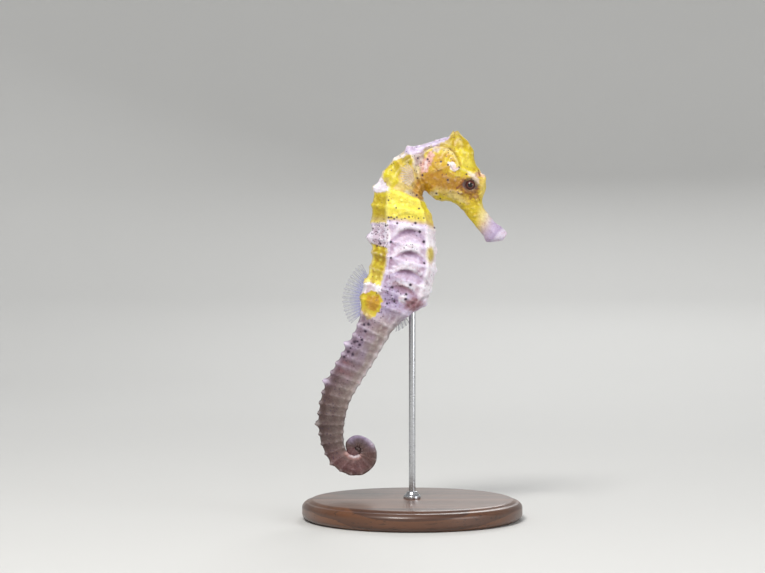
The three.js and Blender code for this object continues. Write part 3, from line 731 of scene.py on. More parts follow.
def patch(corners, edge=0.3, rough=0.3):
    """Mask of a many-cornered blotch on the flank. The corners are given in order, as x, z."""
    inside = np.zeros(x_mm.shape, bool)
    gap = np.full(x_mm.shape, FAR)
    for (ax, az), (bx, bz) in zip(corners, corners[1:] + corners[:1]):
        gap = np.minimum(gap, from_segment(x_mm, z_mm, (ax, az), (bx, bz)))
        crossing = ax + (z_mm - az) * (bx - ax) / (bz - az or 1.0)
        inside ^= ((az > z_mm) != (bz > z_mm)) & (x_mm < crossing)
    return smooth(-edge, edge, np.where(inside, gap, -gap) + rough * small_wobble)


def stroke(points, thick=0.3):
    """Mask of a thin brush line through the points, given as x, z."""
    gap = np.full(x_mm.shape, FAR)
    for a, b in zip(points, points[1:]):
        gap = np.minimum(gap, from_segment(x_mm, z_mm, a, b))
    return smooth(1.3 * thick, 0.5 * thick, gap + 0.3 * thick * small_wobble)


print("share of the skin on rings 3 to 5:", round(float(ring_band(3, 5).mean()), 3))

# %% Laying paint
def lay(colour, mask):
    """Sprays a colour through a mask of 0 to 1."""
    coat[:] = coat + (colour - coat) * np.clip(mask, 0, 1)[..., None]


def lay_all(layers):
    """Lays paints one after another: paint, strength, brush, its points, and its softness."""
    for paint, strength, brush, points, *touch in layers:
        lay(paint, brush(points, *touch) * strength)


lay(YELLOW, ring_band(-20, 0.3))
print("mean of the coat with its first yellow:", coat.mean(axis=(0, 1)).round(2))

# %% Ground colours
snout_way = -(V + 8) / 5 + 0.36 * (0.5 - depth_share) + 0.07 * wobble
lay(CREAM, smooth(0.15, 0.6, snout_way) * (V < -7) * 0.8)
lay(LAVENDER, smooth(0.45, 0.85, snout_way) * (V < -7) * 0.85)
lay(PINK, hump(snout_way - 0.5, 0.18) * smooth(0.4, 0.8, depth_share) * (V < -7) * 0.35)
lay(LILAC, ring_band(-20, -10.4, 0.9) * 0.85)
lay(MAUVE, ring_band(-20, -11.0, 0.9) * 0.1)
# painted highlight: white on the lips at the tip of the snout
lay(WHITE, ring_band(-20, -12.2, 0.25) * 0.4)
lay(LILAC, hump(V - LIP_GROOVE, 0.2) * 0.3)
lay(LEMON, ring_band(3.6, 5.6, 0.15))
lay(LAVENDER, ring_band(5.75, 12.5, 0.08, 0.06))
lay(GREY_PINK, ring_band(11.6, 14.5, 0.9))
lay(TAIL_LILAC, ring_band(13.5, 50, 1.2))
lay(TAIL_BROWN, ring_band(18.5, 60, 2.2) * 0.9)
print("ground laid")

# %% [markdown]
# ### Painting the head
# Yellow, ochre and straw meet in soft patches, with one white and one pink blotch behind the eye
# and a few brown strokes round it. Order matters: what is laid later covers what was laid before.

# %% Patches of the head
lay_all([
    (LEMON, 0.9, patch, [
        (12.9, 111.1), (16.5, 110.8), (18.3, 105.1), (17.4, 102.4), (14.4, 103.6),
        (13.5, 107.5)], 0.6),
    (GOLD, 0.6, patch, [(11.7, 114.4), (13.8, 114.4), (14.1, 111.4), (12, 111.7)], 0.4),
    (OLIVE, 0.45, patch, [
        (10.5, 115), (12.9, 116.2), (14.4, 114.7), (13.2, 113.8), (11.4, 113.5)], 0.4),
    (LILAC, 0.6, patch, [(6, 112.9), (8.4, 113.5), (8.4, 110.5), (7.2, 109.6), (6, 109.9)], 0.3),
    (STRAW, 0.5, patch, [
        (8.4, 111.7), (11.4, 111.1), (12.9, 108.7), (10.5, 108.4), (8.4, 109.6)], 0.5),
    (GOLD, 0.7, patch, [
        (6, 108.7), (10.2, 109.3), (13.2, 107.5), (11.4, 104.5), (7.2, 103.9), (4.8, 103.9)], 0.6),
    (LEMON, 0.6, patch, [(9.3, 108.1), (11.1, 108.1), (11.4, 106.3), (9.6, 106.3)], 0.4),
    (OCHRE, 0.95, patch, [
        (2.4, 102.4), (5.4, 103.9), (8.4, 104.5), (11.4, 102.7), (15, 101.8), (15.6, 98.5),
        (12.9, 97.6), (8.4, 97.9), (4.8, 98.2), (3.6, 96.7), (1.2, 96.1), (0, 98.5),
        (0.9, 100.9)], 1.3),
    (GOLD, 0.6, patch, [(2.1, 104.5), (6, 103.9), (7.2, 99.7), (4.8, 96.7), (1.8, 97.9)], 0.9),
    (RUST, 0.22, patch, [(2.7, 102.7), (6, 103.3), (6.6, 101.8), (3.6, 100.9)], 0.5),
    (WHITE, 0.9, patch, [
        (10.8, 106.6), (12, 106.6), (12.9, 105.7), (13.8, 104.8), (13.5, 103.8), (12.3, 104.2),
        (11.4, 105.1)], 0.2, 0.6),
    (PINK, 0.5, patch, [(12, 105.7), (13.2, 105.4), (13.5, 104.3), (12.3, 104.5)], 0.3),
    (RUST, 0.6, stroke, [(11.2, 105.7), (11.8, 104.5), (12.9, 103.6)], 0.2),
    (GOLD, 0.6, patch, [(10.5, 103.6), (12.3, 103.6), (12.3, 102.7), (10.8, 102.7)], 0.3),
    # painted highlight: a white wedge on the brow above and in front of the eye
    (WHITE, 0.6, patch, [
        (16.2, 103.9), (18, 103.3), (19.8, 101.8), (19.8, 99.7), (18.6, 100.9),
        (17.4, 102.1)], 0.35),
    (PINK, 0.6, patch, [(18.6, 103.9), (21.9, 103.6), (21.6, 102.4), (19.2, 102.1)], 0.3),
    (RUST, 0.8, patch, [
        (16.6, 96.8), (18.6, 97), (19.8, 97.3), (19.9, 95.8), (18.3, 95.7),
        (16.8, 95.7)], 0.25, 0.6),
    (RUST, 0.85, stroke, [(13.2, 98.8), (14.1, 99.4), (15.3, 99.2)], 0.28),
    (RUST, 0.8, stroke, [(13.5, 97.8), (14.1, 97), (15, 97.3)], 0.32),
    (RUST, 0.5, stroke, [(12.9, 102.1), (14.1, 102.1)], 0.3),
    (RUST, 0.7, stroke, [(19.8, 104.2), (20.2, 102.7)], 0.3),
    (STRAW, 0.8, stroke, [(13.5, 98.3), (14.4, 98.6), (15.6, 98.3)], 0.3),
    (CREAM, 0.9, patch, [(5.1, 97.9), (7.5, 98.2), (7.8, 96.7), (5.7, 96.7)], 0.25),
    (CREAM, 0.5, patch, [(10.2, 98.2), (15, 96.7), (16.8, 94), (13.8, 95.2), (10.8, 96.1)], 0.5),
    (STRAW, 0.6, patch, [(20.1, 102.1), (22.2, 101.5), (21.9, 96.4), (20.4, 96.7)], 0.4),
    (STRAW, 0.5, patch, [
        (5.4, 98.5), (9, 96.7), (12, 95.8), (15, 95.5), (17.4, 94), (16.8, 96.1), (12, 97.9),
        (7.8, 99.4)], 0.5),
])
print("patches of the head painted")

# %% Edge of the gill cover and crest
# painted highlight: straw along the raised upper edge of the gill cover
lay(STRAW, hump(gill - 0.95, 0.045) * sharp * on_head * 0.8)
# painted shade: an olive line in the groove just outside that edge
lay(OLIVE, hump(gill - 1.07, 0.035) * sharp * on_head * 0.45)
lay(WHITE, hump(ARC, 0.5) * ring_band(-6, -3.7, 0.3) * 0.2)
lay(LAVENDER, hump(ARC, 0.7) * ring_band(-1.4, 0, 0.2))
lay_all([
    (YELLOW, 0.8, patch, [
        (11.7, 117.1), (15.3, 117.1), (16.8, 113.5), (14.4, 111.7), (12, 113.5)], 0.25),
    (RUST, 0.8, stroke, [(13.2, 99.1), (14.1, 99.4), (15, 99.4)], 0.25),
])
print("share of the skin with a sharp gill edge:", round(float((sharp * on_head > 0.5).mean()), 3))

# %% Streaks round the eye
EYE_STREAKS = 11
eye_angle = np.arctan2(z_mm - EYE_Z, x_mm - EYE_X)
streaks = smooth(-0.1, 0.8, np.sin(EYE_STREAKS * eye_angle + 2.5 * small_wobble))
streaks *= hump(from_eye - 2.5, 0.8) * near_eye
lower_left = smooth(0.8, -0.3, np.sin(eye_angle + 0.5))
lay(OCHRE, hump(from_eye - 2.4, 0.8) * near_eye * (0.2 + 0.75 * lower_left))
brown_ring = smooth(3.0, 2.2, from_eye + 0.35 * small_wobble) * near_eye
dark_ring = smooth(2.45, 1.8, from_eye + 0.3 * small_wobble) * near_eye
lay(RUST, brown_ring * (0.3 + 0.6 * lower_left))
lay(RUST, streaks * lower_left * 0.9)
# a dark ring round the ball: partly the eye's own brown, partly painted shade
lay(UMBER, dark_ring * (0.75 + 0.2 * lower_left))
print("streaks round each eye:", EYE_STREAKS)

# %% Last veils over the head
lay_all([
    (UMBER, 0.35, stroke, [(8.7, 110.5), (10.8, 110.8), (12, 109.9), (12.9, 108.1)], 0.2),
    (MUSTARD, 0.6, patch, [
        (10.8, 117.1), (15.6, 117.1), (17.4, 112.9), (15, 110.5), (11.4, 111.1)], 1.0),
    (MUSTARD, 0.22, patch, [
        (15, 111.7), (18.6, 110.5), (19.8, 105.1), (16.2, 103.9), (14.4, 107.5)], 1.0),
    (GOLD, 0.3, patch, [(15, 98.5), (19.8, 98.5), (20.4, 95.5), (16.2, 93.7), (14.4, 96.1)], 0.8),
    (GOLD, 0.35, patch, [(2.1, 103.9), (6, 103.3), (6.6, 99.1), (3.6, 97.3), (1.5, 99.1)], 0.8),
])
print("head painted")

# %% [markdown]
# ### Painting the trunk
# The trunk wears wide bands: yellow, white, and yellow again only on a strip along the back. The
# flank below the side ridge stays pale, with a round gold patch over the hips.

# %% Neck
strip = smooth(0.25, -0.25, from_side + 0.35 * small_wobble)
keel = smooth(-0.4, 0.5, from_lower)
lay_all([
    (STRAW, 0.95, patch, [
        (-6.3, 102.7), (-3.6, 104.8), (-0.3, 106.3), (1.5, 102.7), (0.6, 98.5), (-3.6, 97.6),
        (-6.9, 98.8)], 0.5),
    (LAVENDER, 1, patch, [
        (-2.7, 109.6), (-1.2, 111.7), (2.4, 112), (7.5, 113.8), (10.8, 115), (11.4, 114.1),
        (7.2, 111.7), (3.6, 110.5), (1.2, 108.7), (-0.9, 109)], 0.3),
    (GREY_PINK, 0.85, patch, [
        (0, 109), (3.6, 109.9), (3.6, 108.1), (2.7, 105.7), (0.9, 105.7)], 0.35),
    (OLIVE, 0.8, patch, [(3, 110.5), (5.7, 112), (6.3, 110.8), (3.9, 109.9)], 0.2),
    (PINK, 0.9, patch, [
        (2.1, 105.7), (3.6, 107.5), (5.4, 109.9), (6.6, 108.7), (5.4, 106), (4.5, 103.6),
        (2.7, 103.3)], 0.35),
    (WHITE, 0.5, patch, [(3.6, 106.6), (4.5, 107.5), (4.5, 105.1), (3.3, 103.9)], 0.3),
    (YELLOW, 1, patch, [
        (-6, 106.6), (-4.5, 108.4), (-0.9, 109), (0.3, 107.5), (-0.3, 106), (-3, 104.8),
        (-4.8, 104.8)], 0.25),
    (OLIVE, 0.65, patch, [(-3, 108.7), (-0.6, 108.7), (0, 106.6), (-1.8, 106), (-3.3, 107.2)], 0.4),
    (WHITE, 0.7, patch, [
        (-6, 107.2), (-4.8, 108.7), (-1.8, 109.6), (-2.1, 108.7), (-4.5, 107.5)], 0.25),
    (LEMON, 1, patch, [
        (-9, 102.7), (-8.1, 104.8), (-6, 106.3), (-3.9, 104.8), (-4.2, 100.3), (-6, 98.8),
        (-8.4, 100)], 0.3),
    (MUSTARD, 0.6, patch, [(-6, 106), (-3, 105.1), (-3.3, 103.6), (-5.1, 103.3)], 0.4),
    (WHITE, 1, patch, [
        (-12.3, 98.2), (-11.4, 99.7), (-9.3, 102.4), (-8.4, 100.6), (-6.6, 98.8), (-6.9, 97.9),
        (-11.4, 97.6)], 0.15),
    (OCHRE, 0.5, patch, [(0.3, 101.2), (3.9, 101.5), (3.9, 95.8), (1.8, 94.9), (0, 97.6)], 1.2),
    (GOLD, 0.5, patch, [(0.3, 101.2), (3.9, 101.5), (3.9, 95.8), (1.8, 94.9), (0, 97.6)], 0.8),
])
print("neck painted")

# %% Bands of the trunk
STRIP_HIGHLIGHT_PLACE = 0.57
lay(MUSTARD, strip * ring_band(4.4, 6.05, 0.1) * 0.85)
# painted highlight: lemon on the ring crests of the back strip
lay(LEMON, strip * ring_band(4.4, 6.05, 0.1) * crest * 0.6)
lay(STRAW, keel * ring_band(5.0, 6.0, 0.3) * 0.6)
lay(BRIGHT_LEMON, ring_band(3.7, 5.6, 0.15) * (1 - strip) * (1 - keel) * 0.85)
lay(GOLD, hump(V - 5.72 - 0.05 * wobble, 0.1) * (1 - strip) * 0.3)
lay_all([
    (WHITE, 1, patch, [
        (-14.4, 83.5), (-12.9, 86.5), (-11.4, 87.7), (-7.2, 88.6), (-6.3, 85.3), (-7.2, 81.7),
        (-10.2, 81.4), (-12.9, 81.7)], 0.2, 0.5),
    (LILAC, 0.45, patch, [
        (-14.4, 86.2), (-12, 87.1), (-7.5, 87.7), (-7.2, 82), (-12, 82.3), (-14.4, 83.5)], 0.5),
])
lay(MUSTARD, strip * ring_band(7.45, 10.05, 0.1))
past_line = V - STRIP_HIGHLIGHT_PLACE
# painted highlight: lemon bands across the back strip, where its plates bulge
lay(LEMON, strip * ring_band(7.5, 10.0, 0.1) * hump(past_line - np.round(past_line), 0.22) * 0.9)
lay(GOLD, hump(from_side + 0.4, 0.4) * ring_band(7.6, 9.9, 0.2) * 0.35)
lay(BRIGHT_LEMON, strip * ring_band(9.1, 9.95, 0.2) * 0.7)
lay(OLIVE, hump(from_side - 0.1, 0.22) * ring_band(4.3, 5.9, 0.15) * 0.35)
clouds = smooth(-0.5, 0.6, small_wobble)
lay(ROSE, hump(from_side - 0.2, 0.25) * ring_band(5.9, 9.8, 0.2) * clouds * 0.6)
lay(WHITE, smooth(-1.0, 0.1, from_lower) * ring_band(6.0, 9.8, 0.3))
lay(YELLOW, blot(5.3, 79.3, 1.2, 2.4, 0.45) * 0.9)
lay(WHITE, patch([
    (-17.1, 68.2), (-15.6, 70), (-13.2, 70.9), (-10.8, 70.3), (-7.8, 68.8), (-8.4, 67.3),
    (-12, 67.9), (-15, 67.3)], 0.15, 0.6))
gold_blob = patch([
    (-16.5, 65.5), (-15, 67.6), (-12.6, 68.5), (-9.9, 67.6), (-8.7, 65.5), (-9.6, 62.8),
    (-11.1, 60.7), (-13.5, 59.8), (-15, 62.2)], 0.2, 0.35)
lay(YELLOW, gold_blob)
lay_all([
    (GOLD, 0.9, patch, [
        (-13.8, 66.4), (-10.2, 67), (-9.6, 64.3), (-11.4, 62.2), (-13.5, 63.1)], 0.4),
    (OCHRE, 0.35, patch, [(-13.2, 66.7), (-10.5, 66.4), (-10.2, 63.7), (-12.6, 63.1)], 0.8),
    (LILAC, 0.2, patch, [(-12.6, 102.1), (-6.9, 102.1), (-6.6, 97.3), (-12.6, 97.3)], 0.3),
    (LILAC, 0.25, patch, [
        (-3, 112.9), (11.4, 116.5), (11.4, 112.6), (3.9, 109.9), (-2.4, 108.7)], 0.3),
    (ROSE, 0.14, patch, [(2.1, 109.3), (7.2, 109.9), (6, 105.7), (3.6, 103.3), (1.8, 104.5)], 0.3),
    # painted shade: a mauve veil under the pectoral fin
    (MAUVE, 0.25, patch, [(-2.7, 104.8), (-0.3, 103.9), (-0.3, 100.3), (-2.7, 99.4)], 0.5),
])
print("trunk painted")

# %% [markdown]
# ### Shade under the folds
# The folds of the flank end in small steps. A lilac haze above each step and a mauve crescent
# under it are painted shade, the crescent partly the skin's own mauve, and white on the raised end
# of each fold is a painted highlight; so the folds read as deep, even in flat light. The shapes
# follow the same arch that raised the folds, so paint and relief always agree.

# %% Crescents under the folds
# ring, middle of the crescent
CRESCENTS = ((6, -1.2), (7, -1.2), (8, -2.1))
CRESCENT_REACH = 3.8
cell = (V - arch) % 1
flank_rings = on_flank * ring_band(5.95, 9.5, 0.25)
# painted shade: lilac just past each step
lay(LILAC, smooth(0.5, 0.05, cell) * flank_rings * 0.55)
lay(LILAC, ring_band(8.7, 11.5, 0.3) * on_flank * (1 - gold_blob) * 0.75)
# painted shading across each fold: a touch of pink, then a painted highlight in white on its raised
# end
lay(PINK, hump(cell - 0.3, 0.15) * flank_rings * 0.18)
lay(WHITE, smooth(0.4, 0.75, cell) * flank_rings * 0.85)
for ring, x in CRESCENTS:
    across = (x_mm - x) / CRESCENT_REACH
    below = V - ring - arch
    mark = smooth(-0.15, -0.02, below + 0.03 * small_wobble) * smooth(0.26, 0.0, below)
    lay(MAUVE, mark * smooth(1.05, 0.2, np.abs(across)) * 0.9)
lay_all([
    # painted shade: dark strokes along creases of the lower flank, the rose one partly its own
    # colour
    (MAUVE, 0.4, stroke, [(1.2, 74.2), (2.7, 72.7), (4.8, 70.3)], 0.5),
    (ROSE, 0.6, stroke, [(-5.4, 70.6), (-2.7, 69.7), (0, 67.6)], 0.6),
])
low_flank = patch([
    (-8.7, 69.7), (-5.1, 70.3), (-3, 67.9), (-4.2, 63.7), (-7.2, 61.9), (-9.3, 64.6)], 1.0)
lay(LILAC, (1 - gold_blob) * low_flank * 0.7)
lay_all([
    (ROSE, 0.5, patch, [(-6.3, 70.3), (-3, 69.7), (-0.9, 67.6), (-3.6, 67)], 0.9),
    # painted highlight: white spots on the lower flank, above the rose crescent
    (WHITE, 0.8, patch, [(-4.5, 66.4), (-1.5, 67.6), (-1.8, 64.6), (-3.9, 64.9)], 0.4),
    (WHITE, 0.7, patch, [(0, 70), (3.6, 70.3), (4.5, 67.9), (1.5, 66.7)], 0.5),
    # the rose crescent under the belly: partly its own rose, partly painted shade
    (ROSE, 0.95, patch, [
        (-2.1, 65.2), (0.3, 66.7), (2.4, 66.1), (3.6, 64.3), (0.6, 61.9), (-2.1, 63.1)], 1.0),
    # painted shade: a dark umber line along a crease under the belly
    (UMBER, 0.4, stroke, [(-1.2, 64), (1.2, 65.5), (4.8, 66.7)], 0.4),
    (SAND, 0.3, patch, [(-8.4, 61.9), (-4.2, 63.1), (-2.4, 60.7), (-4.8, 56.5), (-7.8, 57.7)], 1.4),
    (WHITE, 0.8, patch, [(3.6, 84.7), (6.6, 85.9), (6.9, 81.7), (4.2, 81.1)], 0.5),
])
print("crescents painted")

# %% [markdown]
# ### Painting the tail
# The tail goes from lilac grey to brown and back to lilac in the coil. Its belly side is paler,
# its back carries dark blotches between the rings, and every knob has a light tip.

# %% Tail
lower_half = smooth(0.42, 0.62, depth_share + 0.05 * wobble)
lay(LILAC, ring_band(12, 15.5, 0.8) * (1 - lower_half) * 0.35)
lay(SAND, ring_band(12, 21, 1.5) * lower_half * 0.85)
lay(TAIL_PALE, ring_band(20, 29, 2.0) * lower_half * 0.85)
lay(UMBER, smooth(0.55, 0.2, depth_share) * smooth(18, 22, V) * smooth(31, 28, V) * 0.6)
lay(TAIL_LILAC, ring_band(12.2, 15.6, 0.6) * smooth(0.6, 0.3, depth_share) * 0.75)
pale_clouds = smooth(0.1, 0.8, -wobble)
lay(LAVENDER, pale_clouds * ring_band(12, 16, 0.6) * smooth(0.45, 0.3, depth_share) * 0.3)
lay(WHITE, ring_band(12.5, 19, 1.5) * smooth(0.66, 0.9, depth_share) * 0.22)
print("ground of the tail painted")

# %% Blotches, knobs and coil
blotch = hump(past_ring - 0.5, 0.34) * hump(depth_share - 0.38, 0.17)
lay(UMBER, blotch * smooth(15.2, 17, V) * smooth(30, 22, V) * 0.6)
lay(ROSE, blotch * ring_band(16.4, 18.2, 0.4) * 0.5)
dark_clouds = smooth(0.0, 0.6, wobble)
lay(UMBER, dark_clouds * smooth(0.66, 0.4, depth_share) * ring_band(15.4, 27, 0.8) * 0.4)
lay(SAND, smooth(0.1, 0.7, -wobble) * ring_band(16, 27, 1.0) * 0.22)
# painted highlight: lavender on the ring crests of the upper tail
lay(LAVENDER, crest * smooth(0.6, 0.3, depth_share) * ring_band(12, 17, 0.8) * 0.2)
knob = smooth(0.1, 1.7, np.linalg.norm(spines, axis=-1)) * (depth_share < 0.4)
lay(LAVENDER, knob * ring_band(12.5, 20.5, 0.8) * 0.8)
lay(SAND, knob * ring_band(20.5, 31, 0.8) * 0.8)
outer_edge = smooth(0.45, 0.1, depth_share)
lay(TAIL_PALE, outer_edge * ring_band(27, 40, 1.0) * 0.6)
lay(LILAC, ring_band(33.5, 38.5, 0.9) * smooth(0.6, 0.15, depth_share) * 0.8)
lay(WHITE, ring_band(33.6, 35.0, 0.3) * smooth(0.4, 0.1, depth_share) * 0.4)
lay(PINK, ring_band(26.6, 32.5, 0.5) * smooth(0.55, 0.85, depth_share) * 0.35)
lay(PINK, ring_band(26.8, 31.2, 0.5) * smooth(0.6, 0.8, depth_share) * 0.6)
lay(WHITE, ring_band(27.6, 31.2, 0.5) * smooth(0.7, 0.85, depth_share) * 0.75)
lay(RUST, ring_band(27, 34, 1.5) * hump(depth_share - 0.45, 0.3) * 0.22)
lay(ROSE, ring_band(26, 31, 1.0) * hump(depth_share - 0.45, 0.3) * 0.3)
lay(ROSE, ring_band(40.0, 44.0, 0.8) * 0.4)
lay(SAND, ring_band(45.5, 49, 0.8) * 0.7)
# darker from ring 19 on and again in the coil: partly the tail's own colour, partly painted shade
coat *= 1 - (0.22 * smooth(19, 23, V) + 0.1 * smooth(33, 38, V))[..., None]
print("tail painted")

# %% [markdown]
# ### Painted shade in the hollows, painted highlight on the raised points
# Painters of models bring out relief in two last steps, and both are painted light: a thin dark
# wash lays painted shade into the hollows, then a nearly dry pale brush lays a painted highlight on
# the raised points. Here the relief of the skin itself says which is which: its height, less the
# mean height of its surroundings.

# %% Painted shade in the hollows and painted highlight on the raised points
def blurred(values, reach):
    """Each value averaged with its neighbours on the grid."""
    for axis in (0, 1):
        values = sum(np.roll(values, k, axis) for k in range(-reach, reach + 1)) / (2 * reach + 1)
    return values


HOLLOW_SHADE_STRENGTH = [
    [-13, 0.4], [0, 0.45], [3.5, 0.3], [5.5, 0.3], [6.4, 0.6], [12, 0.6], [15, 0.4], [26, 0.3],
    [48, 0.3],
]
# height below or above the surroundings where the painted shade and painted highlight are full;
# tint of the painted shade
HOLLOW_DEPTH, RAISED_HEIGHT, HOLLOW_SHADE_TINT = 0.11, 0.14, np.array([0.66, 0.52, 0.56])
strength = along(HOLLOW_SHADE_STRENGTH, V) * (1 - 0.8 * gold_blob)
strength *= 1 - 0.6 * smooth(-0.4, 0.4, from_lower) * trunk_only
strength *= 1 - 0.9 * smooth(3.4, 2.6, from_eye) * near_eye
raised = np.sum((skin - P) * N, axis=-1)
detail = raised - blurred(blurred(raised, 3), 3)
hollow_shade = np.clip(-detail / HOLLOW_DEPTH, 0, 1)[..., None]
# painted shade: darker where the skin lies below its surroundings
coat *= 1 - strength[..., None] * hollow_shade * (1 - HOLLOW_SHADE_TINT)
# painted highlight: white where the skin stands above its surroundings
lay(WHITE, np.clip(detail / RAISED_HEIGHT, 0, 1) * 0.25 * strength)
print("share of the skin in hollows:", round(float((hollow_shade > 0.5).mean()), 3))

# %% [markdown]
# ## Dots
# The dark dots are finer than the mesh, so painting them on its corners would blur them. Each
# corner gets a vector to the nearest dot instead, measured in dot radii. The material then draws
# a crisp round dot wherever that vector is shorter than 1.

# %% Where the dots are
# x, z, radius
DOTS = [
    (8.4, 106.6, 0.3), (4.5, 107.5, 0.28), (10.5, 101.2, 0.32), (3.0, 102.7, 0.3),
    (7.2, 97.3, 0.3), (8.4, 95.9, 0.25), (10.5, 105.7, 0.26), (13.8, 105.1, 0.28),
    (1.5, 101.8, 0.25), (1.2, 96.8, 0.3), (1.7, 107.8, 0.25), (16.0, 103.0, 0.22),
    (-4.5, 88.3, 0.34), (0.9, 88.5, 0.38), (2.1, 85.9, 0.42), (-6.3, 82.9, 0.36),
    (3.3, 82.9, 0.42), (-6.3, 78.1, 0.32), (3.6, 76.6, 0.3), (-0.6, 70.0, 0.4),
    (-6.0, 69.4, 0.34), (-1.8, 67.3, 0.38), (-2.1, 65.8, 0.42), (-7.5, 64.6, 0.32),
    (-5.4, 65.2, 0.28), (-7.8, 87.7, 0.32), (2.0, 92.8, 0.25), (6.6, 87.2, 0.3),
    (-14.4, 58.3, 0.36), (-13.0, 58.3, 0.42), (-14.1, 56.2, 0.4), (-15.1, 53.8, 0.38),
    (-17.2, 53.2, 0.4), (-15.7, 52.3, 0.42), (-19.0, 50.2, 0.42), (-17.8, 49.3, 0.38),
    (-20.4, 48.7, 0.34), (-7.2, 90.0, 0.3), (-7.0, 95.3, 0.26), (-4.9, 93.0, 0.22),
    (-9.6, 82.3, 0.3), (-10.6, 81.6, 0.3), (-16.4, 53.2, 0.3), (-18.4, 51.2, 0.28),
]
# a row of small dots along the edge of the yellow band
BAND_EDGE = 89.9
for x in np.arange(-6.4, 3.4, 1.05):
    across, up_or_down = rng.uniform(-0.35, 0.35), rng.uniform(-0.5, 0.4)
    DOTS.append((x + across, BAND_EDGE + up_or_down, rng.uniform(0.12, 0.27)))
print("dots on each side:", len(DOTS))

# %% A vector to the nearest dot
FAR_OFF = 9.0
flat_skin = skin.reshape(-1, 3)
flat_side = SIDE.reshape(-1)
centres, radii = [], []
for side in (-1, 1):
    flank = flat_skin[flat_side == side]
    for x, z, radius_mm in DOTS:
        shift = rng.uniform(-0.5, 0.5, 2) if side == 1 else np.zeros(2)
        gaps = np.hypot(flank[:, 0] - x - shift[0], flank[:, 2] - z - shift[1])
        centres.append(flank[np.argmin(gaps - 0.02 * np.abs(flank[:, 1]))])
        radii.append(radius_mm)
to_dot = np.full((len(flat_skin), 3), FAR_OFF)
dot_gap = np.full(len(flat_skin), FAR_OFF)
for centre, radius_mm in zip(centres, radii):
    offset = (flat_skin - centre) / radius_mm
    length = np.linalg.norm(offset, axis=1)
    closer = length < dot_gap
    to_dot[closer] = offset[closer]
    dot_gap[closer] = length[closer]
print("dots on the skin:", len(centres))

# %% [markdown]
# ### Speckles
# Speckles are too many to place one by one. The skin only keeps how thickly they lie, from 0 to
# 1, and the material scatters them by that chance. They crowd on the white saddle of the back,
# on the hips and along the side ridge, and stay off the gold patch.

# %% How thickly the fine speckles lie
white_saddle = patch([
    (-15, 86.2), (-12, 87.7), (-7.5, 88), (-7.2, 81.7), (-12, 82), (-15, 83.2)], 0.4)
hip = patch([(-8.4, 70.3), (-3, 70.3), (-2.4, 65.5), (-4.8, 61.9), (-9.6, 61.9)], 0.8)
upper_half = smooth(0.6, 0.25, depth_share) * (strip < 1)
speckle = np.maximum.reduce([
    0.95 * strip * ring_band(6.15, 7.5, 0.12),
    0.9 * white_saddle,
    0.45 * strip * ring_band(5.85, 6.3, 0.1),
    0.8 * ring_band(10.0, 17.0, 0.6) * upper_half,
    0.05 * ring_band(6, 10, 0.3),
    0.5 * hip,
    0.65 * hump(from_side, 0.4) * ring_band(5.9, 8.0, 0.2),
    0.5 * hump(V - 5.8, 0.08) * (1 - keel),
    0.09 * ring_band(-6, 4, 1.0),
    0.3 * smooth(2.9, 1.9, from_eye) * near_eye,
    0.35 * ring_band(18, 30, 2.0) * (1 - lower_half),
])
speckle *= 1 - 0.9 * gold_blob
print("speckled share of the skin:", round(float((speckle > 0.3).mean()), 3))

# %% Painted shade inside the mouth and behind the eyes
# painted shade: dark plum on the skin pushed in behind each eyeball
lay(PLUM, smooth(LID_RADIUS + 0.12, LID_RADIUS - 0.1, from_eye) * near_eye)
lip_coat = np.repeat(coat[:1], LIP_ROWS, axis=0)
inner = np.linspace(1, 0, LIP_ROWS)[:, None, None]
# painted shade: the lips darken to a dark rose towards the inside of the mouth
lip_coat = lip_coat + (ROSE * 0.5 - lip_coat) * smooth(0.2, 0.7, inner)


def with_lips(values, filler):
    """Values of the skin, then filler for the lips and the two end points."""
    first = np.broadcast_to(filler, (LIP_ROWS * COLUMNS,) + values.shape[1:])
    tail_value = values[-1:]
    return np.concatenate([first, values, first[:1], tail_value])


def store(mesh, name, kind, values):
    """Keeps an array on the mesh's vertices for the material to read."""
    layer = mesh.attributes.new(name, kind, "POINT")
    field = {"FLOAT": "value", "FLOAT_VECTOR": "vector", "FLOAT_COLOR": "color"}[kind]
    layer.data.foreach_set(field, np.ascontiguousarray(values, float).ravel())


def opaque(colours):
    """The same colours with an alpha of 1."""
    return np.hstack([colours, np.ones((len(colours), 1))])


skin_mesh = seahorse_skin.data
all_coat = [lip_coat.reshape(-1, 3), coat.reshape(-1, 3), lip_coat[0, :1], coat[-1, :1]]
store(skin_mesh, "coat", "FLOAT_COLOR", opaque(np.concatenate(all_coat)))
store(skin_mesh, "to_dot", "FLOAT_VECTOR", with_lips(to_dot, FAR_OFF))
store(skin_mesh, "dot_gap", "FLOAT", with_lips(dot_gap, FAR_OFF))
store(skin_mesh, "speckle", "FLOAT", with_lips(speckle.reshape(-1), 0.0))
store(skin_mesh, "dish", "FLOAT", with_lips((dish * ringed).reshape(-1), 0.0))
kept = [layer.name for layer in skin_mesh.attributes if layer.domain == "POINT"]
print("layers on the skin:", [name for name in kept if name[0] != "."])

# %% [markdown]
# ## Materials as nodes
# A small helper keeps the node trees readable: it adds a node, sets its values and links what is
# given as another node's output.

